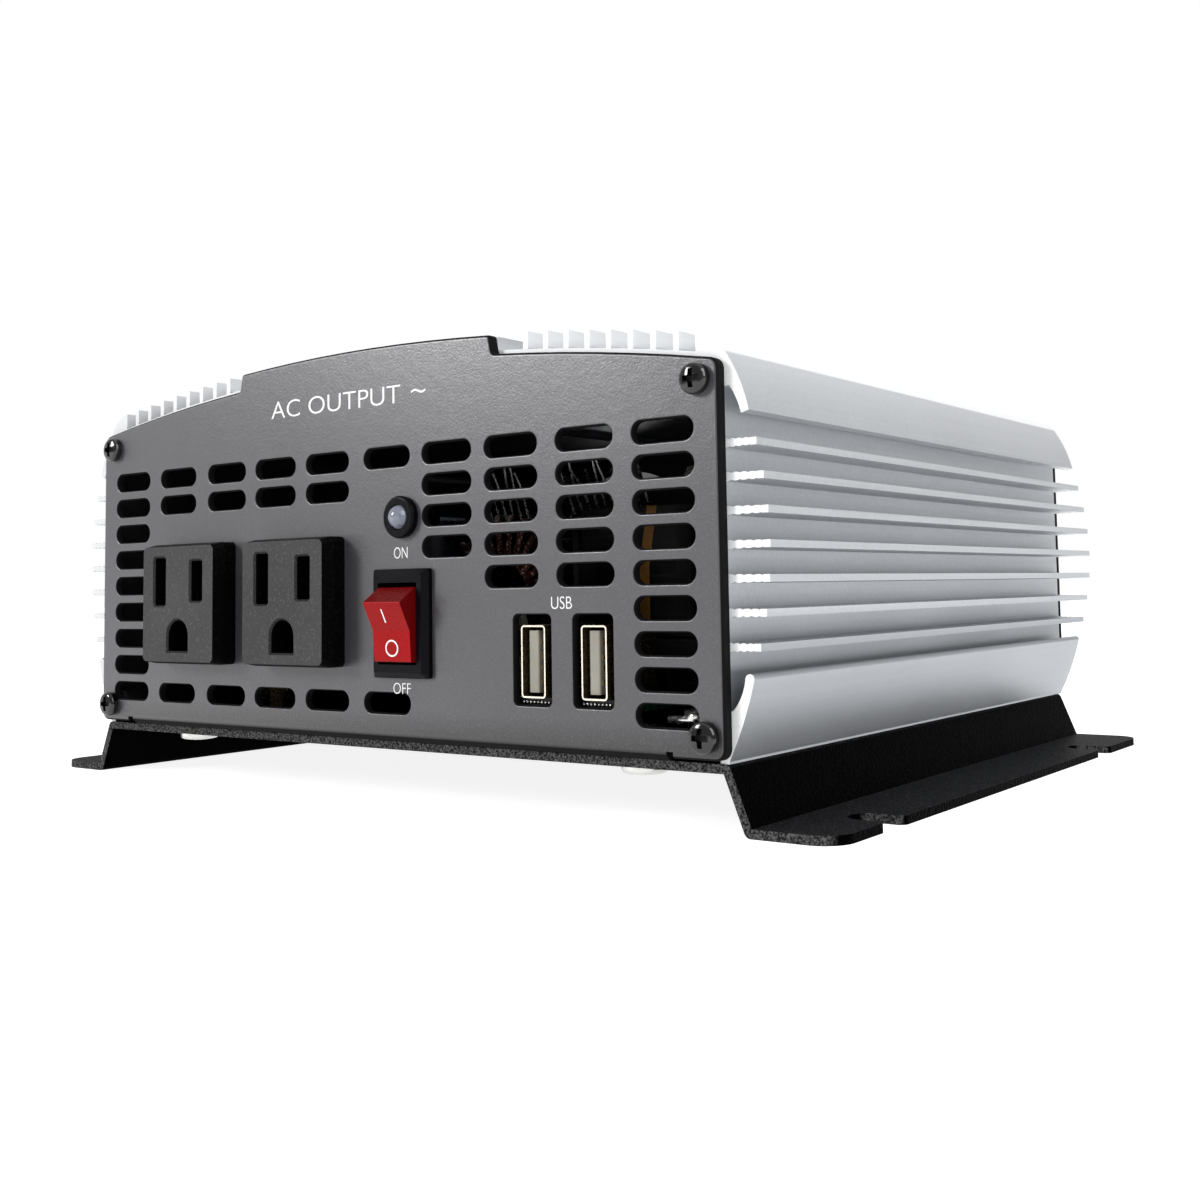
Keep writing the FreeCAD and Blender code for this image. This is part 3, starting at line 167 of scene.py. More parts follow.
# Lights: name, place, width and height, and power in watts
LIGHTS = (
    ("key", (-1.11, -1.34, 0.72), (0.35, 0.5), 17),
    ("side", (1.1, -0.3, 0.85), (1.2, 1.0), 14),
    ("top", (0.0, 0.1, 1.3), (1.4, 1.4), 1.5),
    ("back", (-0.5, 1.2, 0.8), (1.2, 0.8), 1.5),
)

# The surround's strength across that heading and with height: from and to, then the strengths there
SURROUND_ACROSS = (0.3, 0.6, 0.35, 1.0)
SURROUND_UP = (0.4, 0.7, 0.0, 0.65)

FLOOR_RADIUS = 6.0
FLOOR_GLOW = 0.88
WHITE = (1.0, 1.0, 1.0, 1.0)


def middle(node):
    """The middle of a CAD node's box."""
    low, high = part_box(node)
    return (low + high) / 2


def new_object(name, content):
    """A new object, linked into the scene."""
    made = bpy.data.objects.new(name, content)
    bpy.context.scene.collection.objects.link(made)
    return made


def as_mesh(name, curve):
    """A curve's own shape as a mesh, and the low and high corners of the curve's box."""
    source = new_object(name, curve)
    bpy.context.view_layer.update()
    low, high = Vector(source.bound_box[0]), Vector(source.bound_box[6])
    mesh = bpy.data.meshes.new_from_object(source)
    bpy.data.objects.remove(source)
    return mesh, low, high


# Node graphs

class Graph:
    """A material's node tree, with one short method for each node that the finishes use."""

    sockets = {
        "color": "Base Color",
        "metal": "Metallic",
        "rough": "Roughness",
        "normal": "Normal",
        "coat": "Coat Weight",
        "coat_rough": "Coat Roughness",
        "coat_ior": "Coat IOR",
        "coat_normal": "Coat Normal",
        "specular": "Specular IOR Level",
        "clear": "Transmission Weight",
        "ior": "IOR",
        "glow": "Emission Strength",
        "glow_color": "Emission Color",
    }

    def __init__(self, name):
        self.material = bpy.data.materials.new(name)
        self.material.use_nodes = True
        self.tree = self.material.node_tree
        self.shader = self.tree.nodes["Principled BSDF"]
        self.place = self.add("ShaderNodeTexCoord").outputs["Object"]
        self.facing = self.add("ShaderNodeNewGeometry").outputs["Normal"]

    def add(self, kind, **settings):
        node = self.tree.nodes.new(kind)
        for key, value in settings.items():
            setattr(node, key, value)
        return node

    def join(self, value, socket):
        """Link an output to the socket, or set the socket to a plain value."""
        if isinstance(value, bpy.types.NodeSocket):
            self.tree.links.new(value, socket)
        else:
            socket.default_value = value

    def set(self, **inputs):
        """Join values to the shader's sockets and hand back the finished material."""
        for key, value in inputs.items():
            self.join(value, self.shader.inputs[self.sockets[key]])
        return self.material

    def stretch(self, x, y, z):
        """The place on the surface, scaled along each axis."""
        node = self.add("ShaderNodeMapping")
        self.join(self.place, node.inputs["Vector"])
        node.inputs["Scale"].default_value = (x, y, z)
        return node.outputs["Vector"]

    def noise(self, scale, detail=3.0, rough=0.55, where=None):
        """A cloudy noise over the surface, or over a stretched place."""
        node = self.add("ShaderNodeTexNoise")
        self.join(where or self.place, node.inputs["Vector"])
        node.inputs["Scale"].default_value = scale
        node.inputs["Detail"].default_value = detail
        node.inputs["Roughness"].default_value = rough
        return node.outputs["Fac"]

    def cells(self, scale, where=None):
        """The distance to the nearest of many scattered points."""
        node = self.add("ShaderNodeTexVoronoi", feature="F1")
        self.join(where or self.place, node.inputs["Vector"])
        node.inputs["Scale"].default_value = scale
        return node.outputs["Distance"]

    def math(self, operation, a, b=0.0):
        node = self.add("ShaderNodeMath", operation=operation)
        self.join(a, node.inputs[0])
        self.join(b, node.inputs[1])
        return node.outputs["Value"]

    def span(self, value, low, high, to_low=0.0, to_high=1.0):
        """Carry the range from low to high over to another range, and hold it at the ends."""
        node = self.add("ShaderNodeMapRange")
        for name, number in (("Value", value), ("From Min", low), ("From Max", high),
                             ("To Min", to_low), ("To Max", to_high)):
            self.join(number, node.inputs[name])
        return node.outputs["Result"]

    def blend(self, factor, a, b):
        """Mix two colours, each an output or a plain red, green and blue."""
        node = self.add("ShaderNodeMix", data_type="RGBA")
        self.join(factor, node.inputs["Factor"])
        self.join(a if isinstance(a, bpy.types.NodeSocket) else (*a, 1.0), node.inputs["A"])
        self.join(b if isinstance(b, bpy.types.NodeSocket) else (*b, 1.0), node.inputs["B"])
        return node.outputs["Result"]

    def spread(self, noise, to_low, to_high):
        """A noise texture carried over to a range of its own."""
        return self.span(noise, NOISE_LOW, NOISE_HIGH, to_low, to_high)

    def mottle(self, noise, a, b):
        """Two colours mixed by a noise texture."""
        return self.blend(self.span(noise, NOISE_LOW, NOISE_HIGH), a, b)

    def scale(self, a, b):
        """One value times another."""
        return self.math("MULTIPLY", a, b)

    def size(self, value):
        """A value without its sign."""
        return self.math("ABSOLUTE", value)

    def part(self, vector, axis):
        """One axis of a vector."""
        node = self.add("ShaderNodeSeparateXYZ")
        self.join(vector, node.inputs["Vector"])
        return node.outputs[axis]

    def toward(self, axis, low=0.6, high=0.9):
        """1 where the surface faces along the axis, such as "-Y", and 0 where it turns away from it."""
        along = self.part(self.facing, axis[-1])
        signed = self.scale(along, -1.0) if axis[0] == "-" else along
        return self.span(signed, low, high)

    def bump(self, height, depth, strength=1.0, normal=None):
        """A normal tilted by a height, on top of another bump where one is given."""
        node = self.add("ShaderNodeBump")
        self.join(height, node.inputs["Height"])
        node.inputs["Distance"].default_value = depth
        node.inputs["Strength"].default_value = strength
        if normal is not None:
            self.join(normal, node.inputs["Normal"])
        return node.outputs["Normal"]


# Finishes

def extruded_aluminium():
    """Etched silver extrusion with fine die lines, pale where it was sawn off. Painted shade darkens it
    inside, on the lower skirt and towards the left; painted highlights pale the upper hook and the ribs'
    crests.
    """
    g = Graph("extruded_aluminium")
    x, z = g.part(g.place, "X"), g.part(g.place, "Z")
    die_lines = g.noise(1.0, 2.0, 0.6, g.stretch(1500, 8, 1500))
    broad_lines = g.noise(1.0, 1.0, 0.5, g.stretch(260, 4, 260))
    grit = g.noise(1300, 3.0, 0.7)
    cloud = g.noise(22, 4.0)
    sawn = g.span(g.size(g.part(g.facing, "Y")), 0.8, 0.95)
    saw_marks = g.noise(1.0, 2.0, 0.7, g.stretch(180, 180, 2600))
    tone = g.math("ADD", g.scale(die_lines, 0.3), g.scale(broad_lines, 0.2))
    tone = g.math("ADD", tone, g.scale(grit, 0.5))
    side = g.mottle(tone, (0.56, 0.58, 0.605), (0.69, 0.71, 0.735))
    # Painted shade: the lower skirt is darkened where it faces down towards the black base plate
    side = g.blend(g.span(z, *SKIRT_SHADE_BAND, 0.0, 0.55), side, (0.30, 0.32, 0.345))
    # Painted highlight: the upper hook is made paler where it catches the lights
    side = g.blend(g.span(z, *HOOK_HIGHLIGHT_BAND, 0.0, 0.3), side, (0.84, 0.86, 0.88))
    # Painted shade: the side is greyed towards the left
    side = g.blend(g.span(x, *LEFT_SHADE_BAND, 0.0, 0.6), side, (0.34, 0.35, 0.365))
    clean = g.mottle(saw_marks, (0.78, 0.79, 0.80), (0.85, 0.855, 0.86))
    # Painted shade: the sawn ends are greyed towards the left
    end = g.blend(g.span(x, *LEFT_END_SHADE_BAND, 0.0, 0.6), clean, (0.48, 0.49, 0.50))
    drop = g.scale(g.scale(x, x), ROOF_CURVE)
    above_roof = g.math("SUBTRACT", g.math("ADD", z, drop), ROOF_INSIDE_Z)
    # Painted highlight on the ribs' crests: they are made paler and less metallic, with painted shade
    # greying them towards the left
    crest = g.scale(g.span(above_roof, *CREST_BAND), g.span(g.size(x), *CROWN_BAND))
    bright = g.blend(g.span(x, *LEFT_SHADE_BAND), (0.82, 0.83, 0.84), (0.62, 0.63, 0.64))
    ribbed = g.blend(g.scale(crest, 0.8), side, bright)
    # Painted shade: the inner walls and ceiling are made near black and not metallic
    inside = g.scale(g.span(g.size(x), *WALL_BAND), g.span(above_roof, *CEILING_BAND))
    outer = g.blend(sawn, ribbed, end)
    color = g.blend(inside, outer, (0.012, 0.012, 0.013))
    rough = g.math("ADD", g.spread(cloud, 0.42, 0.5), g.scale(sawn, 0.2))
    metal = g.scale(g.span(sawn, 0.0, 1.0, 0.85, 0.2), g.span(crest, 0.0, 1.0, 1.0, 0.3))
    metal = g.scale(metal, g.span(inside, 0.0, 1.0, 1.0, 0.0))
    lines = g.bump(tone, 0.00003, 0.5)
    return g.set(color=color, metal=metal, rough=rough, normal=g.bump(cloud, 0.00004, 0.4, lines))


def panel_coat():
    """Satin powder coat with a fine pebble, dark grey on the flat. Painted shade turns it black where it
    wraps an edge and darkens it towards the lower fold.
    """
    g = Graph("panel_coat")
    pebble = g.noise(2600, 3.0, 0.6)
    ripple = g.noise(420, 2.0, 0.5)
    cloud = g.noise(16, 4.0, 0.6)
    # Painted shade: the coat darkens towards the fold at the panel's lower edge
    bend = g.span(g.part(g.place, "Z"), PANEL_LOW.z + LIP_LOW, PANEL_LOW.z + LIP_HIGH, 0.12, 1.0)
    # Painted shade: wherever the surface turns away from the front, as on the wrapped edges, the coat is
    # made near black
    flat = g.span(g.size(g.part(g.facing, "Y")), 0.86, 0.98)
    face = g.mottle(cloud, (0.036, 0.0355, 0.041), (0.047, 0.0455, 0.053))
    sheet = g.blend(g.scale(flat, bend), (0.0008, 0.0008, 0.001), face)
    specks = g.span(g.noise(4200, 2.0), 0.56, 0.72, 0.0, 0.35)
    color = g.blend(g.scale(specks, flat), sheet, (0.15, 0.15, 0.16))
    height = g.math("ADD", pebble, g.scale(ripple, 0.7))
    satin = g.spread(pebble, 0.30, 0.40)
    rough = g.math("ADD", g.scale(satin, flat), g.span(flat, 0.0, 1.0, 0.9, 0.0))
    grain = g.bump(height, 0.00005, 0.7)
    return g.set(color=color, rough=rough, normal=grain, specular=0.2, coat=flat, coat_rough=0.31,
                 coat_ior=1.57, coat_normal=grain)


def coarse_powder_coat():
    """Black powder coat with a coarse grain, scuffed to bare specks along the sheared ends. Painted light
    makes its upward faces lighter and flecks them with painted glints.
    """
    g = Graph("coarse_powder_coat")
    grain = g.cells(1700)
    fine = g.noise(3200, 2.0)
    cloud = g.noise(30, 3.0)
    coat = g.mottle(cloud, (0.0002, 0.0002, 0.0002), (0.0005, 0.0005, 0.0005))
    # Painted light: upward faces are made lighter and flecked with painted glints
    top_lit = g.blend(g.toward("Z"), coat, (0.010, 0.010, 0.0105))
    bright = g.span(g.noise(3600, 2.0), 0.60, 0.70)
    top_glinted = g.blend(g.scale(bright, g.toward("Z")), top_lit, (0.10, 0.105, 0.12))
    sheared = g.blend(g.span(g.noise(2400, 3.0), 0.40, 0.66), (0.010, 0.010, 0.010), (0.11, 0.11, 0.11))
    color = g.blend(g.toward("-Y"), top_glinted, sheared)
    height = g.math("ADD", g.span(grain, 0.0, 0.8), g.scale(fine, 0.5))
    rough = g.spread(fine, 0.36, 0.55)
    return g.set(color=color, rough=rough, normal=g.bump(height, 0.00015, 0.8), specular=0.05,
                 ior=1.15)


def moulded_plastic(
    name, dark, light, grain=2400.0, depth=0.00004, rough=(0.42, 0.56), specular=0.3, glint_share=0.15
):
    """Spark-textured moulding with a fine even grain. Painted light makes the face that stands towards the
    user palest and scatters painted glints over it, fewer on the faces turned away.
    """
    g = Graph(name)
    texture = g.noise(grain, 3.0, 0.65)
    cloud = g.noise(60, 3.0)
    # Painted light: the face towards the user takes the light colour, the faces turned away the dark one,
    # and painted glints fall mostly on the lit face
    front = g.toward("-Y", 0.5, 0.95)
    front_lit_tone = g.blend(g.scale(front, g.spread(cloud, 0.8, 1.0)), dark, light)
    lit = g.span(front, 0.0, 1.0, 0.08 * glint_share, glint_share)
    spark_glints = g.scale(g.span(g.noise(grain, 1.0), 0.58, 0.74), lit)
    color = g.blend(spark_glints, front_lit_tone, [min(1.0, 2.2 * c) for c in light])
    return g.set(color=color, rough=g.spread(texture, *rough), normal=g.bump(texture, depth, 0.7),
                 specular=specular)


def polished_plastic(name, dark, light, rough=(0.16, 0.26)):
    """Glossy moulding with slight sink and faint handling marks."""
    g = Graph(name)
    sink = g.noise(120, 2.0)
    marks = g.noise(1.0, 3.0, 0.6, g.stretch(400, 1400, 900))
    color = g.mottle(sink, dark, light)
    return g.set(color=color, rough=g.spread(marks, *rough), normal=g.bump(sink, 0.00004, 0.5))


def plated_metal(name, dark, light, rough=(0.2, 0.34)):
    """Bright plated metal with fine uneven polish."""
    g = Graph(name)
    polish = g.noise(900.0, 3.0, 0.6)
    cloud = g.noise(90, 3.0)
    color = g.mottle(cloud, dark, light)
    return g.set(color=color, metal=1.0, rough=g.spread(polish, *rough),
                 normal=g.bump(polish, 0.00002, 0.5))


def shell_steel():
    """Nickel-plated shell with a bright warm rim. Painted shade darkens its walls to brown inside."""
    g = Graph("shell_steel")
    polish = g.noise(900, 3.0, 0.6)
    # Painted shade: the walls, which face away from the front, are darkened to brown; the rim facing the
    # front keeps the bright plated colour
    walls = g.mottle(polish, (0.10, 0.075, 0.045), (0.22, 0.17, 0.11))
    color = g.blend(g.toward("-Y", 0.5, 0.8), walls, (0.90, 0.82, 0.70))
    return g.set(color=color, metal=0.9, rough=g.spread(polish, 0.2, 0.32),
                 normal=g.bump(polish, 0.00002, 0.5))


def black_oxide():
    """Glossy blackened screw steel, with a trace of bare metal where the coat is thin."""
    g = Graph("black_oxide")
    thin = g.noise(900, 4.0, 0.7)
    color = g.blend(g.span(thin, 0.62, 0.72), (0.002, 0.002, 0.002), (0.10, 0.09, 0.08))
    proud = g.math("SUBTRACT", g.size(g.part(g.place, "Y")), abs(PANEL_Y))
    recess = g.scale(g.span(proud, *RECESS_BAND), g.toward("-Y", 0.9, 0.99))
    glossy = g.spread(thin, 0.07, 0.14)
    return g.set(color=color, rough=g.math("ADD", glossy, g.scale(recess, 0.8)),
                 normal=g.bump(thin, 0.00001, 0.4), specular=0.7)


def lamp_plastic():
    """Water-clear diffused lamp resin."""
    g = Graph("lamp_plastic")
    haze = g.noise(500, 3.0)
    color = g.mottle(haze, (0.17, 0.195, 0.245), (0.265, 0.30, 0.37))
    return g.set(color=color, rough=g.spread(haze, 0.10, 0.2), clear=0.3, ior=1.5,
                 normal=g.bump(haze, 0.00002, 0.3), coat=0.4)


def circuit_board():
    """Green solder mask with fine tracks and pads under it, darkened throughout by painted shade and near
    black on the faces toward the front.
    """
    g = Graph("circuit_board")
    tracks = g.add("ShaderNodeTexBrick", offset=0.5, squash=1.0)
    g.join(g.stretch(110, 110, 0), tracks.inputs["Vector"])
    tracks.inputs["Mortar Size"].default_value = 0.06
    tracks.inputs["Scale"].default_value = 1.0
    pads = g.cells(210, g.stretch(1, 1, 0))
    cloud = g.noise(40, 3.0)
    # Painted shade: the mask's greens are darkened to stand in for the shade inside the case
    mask = g.mottle(cloud, (0.001, 0.007, 0.004), (0.002, 0.012, 0.006))
    tracked = g.blend(tracks.outputs["Fac"], mask, (0.004, 0.024, 0.012))
    dotted = g.blend(g.span(pads, 0.16, 0.12), tracked, (0.30, 0.31, 0.29))
    # Painted shade: faces toward the front, such as the board's front edge, are made near black
    front_shaded = g.blend(g.toward("-Y"), dotted, (0.002, 0.0025, 0.002))
    return g.set(color=front_shaded, rough=0.36, specular=0.25, normal=g.bump(tracks.outputs["Fac"], 0.00004, 0.5))


def ferrite():
    """Pressed black ferrite with a gritty grey bloom."""
    g = Graph("ferrite")
    grit = g.noise(1800, 4.0, 0.7)
    color = g.mottle(grit, (0.002, 0.002, 0.002), (0.006, 0.006, 0.0065))
    return g.set(color=color, rough=g.spread(grit, 0.45, 0.62), normal=g.bump(grit, 0.00005, 0.7),
                 specular=0.15)


def winding_tape():
    """Black tape wound in level turns, held by one strap of amber film."""
    g = Graph("winding_tape")
    turns = g.noise(1.0, 1.0, 0.5, g.stretch(40, 40, 900))
    crease = g.noise(160, 4.0)
    wrap = g.blend(g.span(turns, 0.35, 0.65), (0.0015, 0.0015, 0.0015), (0.005, 0.0045, 0.004))
    film = g.mottle(crease, (0.20, 0.085, 0.018), (0.34, 0.17, 0.045))
    above_bend = g.math("MAXIMUM", g.math("SUBTRACT", g.part(g.place, "Z"), STRAP_BEND_Z), 0.0)
    strap = g.math("ADD", g.scale(above_bend, STRAP_LEAN), STRAP_X)
    off_strap = g.size(g.math("SUBTRACT", g.part(g.place, "X"), strap))
    color = g.blend(g.span(off_strap, *STRAP_EDGE), film, wrap)
    height = g.math("ADD", turns, g.scale(crease, 0.5))
    return g.set(color=color, rough=g.spread(crease, 0.24, 0.4), normal=g.bump(height, 0.0001, 0.6),
                 specular=0.12)


def enamelled_wire():
    """Dark varnished copper with bright spots of painted glint."""
    g = Graph("enamelled_wire")
    streak = g.noise(500, 3.0)
    # Painted glints: bright spots scattered over the varnish
    copper_glints = g.span(g.noise(1500, 3.0), 0.56, 0.66)
    varnish = g.mottle(streak, (0.035, 0.010, 0.007), (0.10, 0.030, 0.018))
    color = g.blend(copper_glints, varnish, (0.80, 0.58, 0.50))
    return g.set(color=color, metal=0.8, rough=g.spread(streak, 0.16, 0.3), coat=0.8,
                 normal=g.bump(streak, 0.00003, 0.4))


def shrink_sleeve():
    """Dark capacitor sleeve with its pale polarity stripe and bare crimped top."""
    g = Graph("shrink_sleeve")
    wrinkle = g.noise(260, 3.0)
    top = g.span(g.part(g.facing, "Z"), 0.75, 0.9)
    sleeve = g.mottle(wrinkle, (0.012, 0.013, 0.03), (0.02, 0.022, 0.05))
    stripe = g.span(g.part(g.facing, "Y"), -0.9, -0.93)
    striped = g.blend(stripe, sleeve, (0.55, 0.56, 0.58))
    color = g.blend(top, striped, (0.66, 0.67, 0.68))
    return g.set(color=color, metal=g.scale(top, 0.9), rough=g.spread(wrinkle, 0.22, 0.38),
                 normal=g.bump(wrinkle, 0.00005, 0.5))


def print_ink():
    """White screen-printed ink, slightly uneven."""
    g = Graph("print_ink")
    mesh = g.noise(3000, 2.0)
    color = g.mottle(mesh, (0.72, 0.72, 0.72), (0.86, 0.86, 0.86))
    return g.set(color=color, rough=g.spread(mesh, 0.45, 0.6), normal=g.bump(mesh, 0.00001, 0.4))


def rubber_sheath(name, dark, light):
    """Dull cable sheath with a faint bloom."""
    g = Graph(name)
    bloom = g.noise(300, 4.0)
    color = g.mottle(bloom, dark, light)
    return g.set(color=color, rough=g.spread(bloom, 0.5, 0.66), normal=g.bump(bloom, 0.00004, 0.5))


FINISHES = {
    "housing_aluminium": extruded_aluminium(),
    "panel_paint": panel_coat(),
    "plate_powder": coarse_powder_coat(),
    "zinc_steel": plated_metal("zinc_steel", (0.60, 0.60, 0.58), (0.76, 0.76, 0.74)),
    "black_screw": black_oxide(),
    # In each moulded plastic here the first colour is painted shade on the faces turned away from the user,
    # the second painted light on the face towards the user
    "switch_plastic": moulded_plastic(
        "switch_plastic", (0.001, 0.001, 0.0015), (0.004, 0.004, 0.006),
        grain=1800, depth=0.00005, rough=(0.26, 0.4), specular=0.07,
    ),
    "rocker_red": moulded_plastic(
        "rocker_red", (0.095, 0.0010, 0.0016), (0.315, 0.0025, 0.0035),
        grain=2200, depth=0.00001, rough=(0.24, 0.36), specular=0.09, glint_share=0.0,
    ),
    "terminal_brass": plated_metal("terminal_brass", (0.62, 0.44, 0.17), (0.78, 0.58, 0.26)),
    "lens_clear": lamp_plastic(),
    "board_green": circuit_board(),
    "component_black": moulded_plastic(
        "component_black", (0.002, 0.002, 0.002), (0.006, 0.006, 0.006), specular=0.15,
    ),
    "core_ferrite": ferrite(),
    "copper_wire": enamelled_wire(),
    "winding_tape": winding_tape(),
    "capacitor_sleeve": shrink_sleeve(),
    "fuse_plastic": polished_plastic("fuse_plastic", (0.03, 0.25, 0.05), (0.05, 0.36, 0.08)),
    "fan_plastic": moulded_plastic("fan_plastic", (0.008, 0.008, 0.008), (0.015, 0.015, 0.015)),
    "guard_chrome": plated_metal("guard_chrome", (0.72, 0.72, 0.73), (0.86, 0.86, 0.87), rough=(0.08, 0.2)),
    "cable_rubber": rubber_sheath("cable_rubber", (0.012, 0.012, 0.012), (0.025, 0.025, 0.025)),
    "wire_insulation": rubber_sheath("wire_insulation", (0.42, 0.42, 0.40), (0.56, 0.56, 0.53)),
    # Painted light on the outlets' faces, painted shade on their sides and in their slots
    "outlet_plastic": moulded_plastic(
        "outlet_plastic", (0.0003, 0.0003, 0.0004), (0.060, 0.060, 0.061),
        grain=2200, depth=0.00009, rough=(0.46, 0.6), specular=0.05, glint_share=0.5,
    ),
    "usb_steel": shell_steel(),
    "usb_insert": polished_plastic(
        "usb_insert", (0.22, 0.207, 0.167), (0.30, 0.285, 0.24), rough=(0.3, 0.4),
    ),
    "contact_gold": plated_metal("contact_gold", (0.62, 0.40, 0.16), (0.80, 0.55, 0.24)),
    "terminal_red": polished_plastic("terminal_red", (0.36, 0.008, 0.01), (0.48, 0.012, 0.016)),
    "terminal_black": polished_plastic("terminal_black", (0.008, 0.008, 0.009), (0.016, 0.016, 0.018)),
}
INK = print_ink()


def dress_cad_nodes():
    """Every CAD node gets the finish of its own material slot."""
    slots = {part["node"]: part["material_slot"] for part in frame["record"]["subparts"]}
    for name, obj in nodes.items():
        obj.data.materials.clear()
        obj.data.materials.append(FINISHES[slots[name]])


def soften_edges():
    """A small rounded edge where the real piece has one."""
    for name, width in SOFT_EDGES.items():
        bevel = nodes[name].modifiers.new("soft_edge", "BEVEL")
        bevel.width = width * MM
        bevel.segments = 2
        bevel.limit_method = "ANGLE"
        bevel.angle_limit = math.radians(SOFT_ANGLE)


# Markings

def lettering(name, words, left, base, height, width):
    """Thin printed words on the panel's face, scaled to the height and width that they fill."""
    curve = bpy.data.curves.new(name, "FONT")
    curve.body = words
    curve.extrude = LETTER_DEPTH
    curve.offset = LETTER_THINNING
    mesh, low, high = as_mesh(name, curve)
    scale_x, scale_y = width / (high.x - low.x), height / (high.y - low.y)
    for vertex in mesh.vertices:
        x, y, depth = vertex.co
        panel_x = left + (x - low.x) * scale_x
        panel_z = base + (y - low.y) * scale_y
        vertex.co = (panel_x, PANEL_Y - INK_GAP - depth * INK_DEPTH, panel_z)
    mesh.flip_normals()
    mesh.materials.clear()
    mesh.materials.append(INK)
    marking = new_object(name, mesh)
    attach(marking, "case")


def panel_markings():
    """Every printed word and sign on the front panel."""
    for row in PANEL_WORDS:
        lettering(*row)


def on_surface(node, outline):
    """Points set out across and up, carried straight back onto the front of a CAD node."""
    shape = BVHTree.FromObject(nodes[node], bpy.context.evaluated_depsgraph_get())
    spots = []
    for x, z in outline:
        hit = shape.ray_cast(Vector((x, PANEL_Y - SEARCH_START, z)), Vector((0, 1, 0)))[0]
        spots.append(hit - Vector((0, INK_GAP, 0)))
    return spots


def printed_band(name, inner, outer, closed):
    """A flat printed band between two outlines on the rocker."""
    near, far = on_surface("switch_rocker", inner), on_surface("switch_rocker", outer)
    count = len(near)
    steps = count if closed else count - 1
    faces = [(k, (k + 1) % count, count + (k + 1) % count, count + k) for k in range(steps)]
    mesh = bpy.data.meshes.new(name)
    mesh.from_pydata(near + far, [], faces)
    mesh.materials.append(INK)
    mark = new_object(name, mesh)
    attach(mark, "rocker")


def rocker_markings():
    """The line of the on end and the ring of the off end."""
    centre = middle("switch_body").x
    line_x = centre - LINE_OFFSET
    sides = []
    for x in (line_x - LINE_HALF, line_x + LINE_HALF):
        sides.append([(x, LINE_TOP), (x, LINE_BASE)])
    printed_band("marking_rocker_on", *sides, False)
    turns = [2 * math.pi * k / RING_STEPS for k in range(RING_STEPS)]
    rings = []
    for wide, tall in (RING_INNER, RING_OUTER):
        rings.append([(centre + wide * math.cos(turn), RING_Z + tall * math.sin(turn)) for turn in turns])
    printed_band("marking_rocker_off", *rings, True)


# Small fittings seen through the vents

def fitting(name, mesh, finish):
    """A small piece of the case and the finish of CAD nodes of the same metal."""
    mesh.materials.clear()
    mesh.materials.append(FINISHES[finish])
    mesh.polygons.foreach_set("use_smooth", [True] * len(mesh.polygons))
    piece = new_object(name, mesh)
    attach(piece, "case")


def at(x, y, z):
    """A place given in millimetres from the face of the front panel."""
    return Vector((x * MM, PANEL_Y + y * MM, z * MM))


def bent_wires(name, runs, radius, finish):
    """Round wires, each bent smoothly along its own points."""
    curve = bpy.data.curves.new(name, "CURVE")
    curve.dimensions = "3D"
    curve.bevel_depth = radius * MM
    curve.bevel_resolution = 3
    curve.use_fill_caps = True
    for run in runs:
        spline = curve.splines.new("NURBS")
        spline.points.add(len(run) - 1)
        for point, place in zip(spline.points, run):
            point.co = (*at(*place), 1.0)
        spline.use_endpoint_u = True
        spline.order_u = 3
    mesh = as_mesh(name, curve)[0]
    fitting(name, mesh, finish)


def tail(x, sway, foot, knee, neck, tip):
    """A wire's points from (depth, height) pairs. It leaves its row sideways by a share of its sway."""
    run = [(x, *foot), (x, *knee)]
    run.append((x + SWAY_MIDDLE * sway, *neck))
    run.append((x + SWAY_TIP * sway, *tip))
    return run


def winding_tails():
    """The tinned ends of the windings, which stand up from the front transformer and the choke."""
    runs = []
    for k in range(10):
        sway = 1.5 * math.sin(2.3 * k)
        rise = 66.5 + 1.6 * math.sin(1.7 * k + 0.6)
        runs.append(tail(24.0 + TAIL_STEP * k, sway, (40.0, 56.5), (38.0, 61.0), (36.0, 63.5), (34.5, rise)))
    for k in range(6):
        sway = 1.3 * math.cos(1.9 * k)
        rise = 68.0 + sway
        runs.append(tail(-5.0 + TAIL_STEP * k, sway, (46.0, 56.5), (44.0, 62.0), (43.0, 65.0), (42.0, rise)))
    bent_wires("winding_tails", runs, TAIL_RADIUS, "zinc_steel")


def port_pins():
    """The row of soldered pins along the front edge of the board under each USB port."""
    form = bmesh.new()
    scale = Matrix.Diagonal([half * MM for half in PIN_HALVES] + [1.0])
    for port in ("usb_shell_left", "usb_shell_right"):
        start = middle(port).x / MM - PIN_START
        for k in range(PINS):
            place = at(start + PIN_STEP * k, PIN_Y, PIN_Z)
            bmesh.ops.create_uvsphere(form, u_segments=12, v_segments=8, radius=1.0,
                                      matrix=Matrix.Translation(place) @ scale)
    mesh = bpy.data.meshes.new("port_pins")
    form.to_mesh(mesh)
    form.free()
    fitting("port_pins", mesh, "zinc_steel")


def corner_bracket():
    """The small bent clip seen through the lowest vent beside the USB ports."""
    form = bmesh.new()
    near = [form.verts.new(at(x, CLIP_Y, z)) for x, z in CLIP_OUTLINE]
    face = form.faces.new(near)
    grown = bmesh.ops.extrude_face_region(form, geom=[face])
    for piece in grown["geom"]:
        if isinstance(piece, bmesh.types.BMVert):
            piece.co.y += CLIP_DEPTH * MM
    bmesh.ops.recalc_face_normals(form, faces=form.faces)
    bmesh.ops.bevel(form, geom=form.edges[:], offset=CLIP_ROUND * MM, segments=2, affect="EDGES")
    mesh = bpy.data.meshes.new("corner_bracket")
    form.to_mesh(mesh)
    form.free()
    fitting("corner_bracket", mesh, "zinc_steel")


# Camera, light and stage

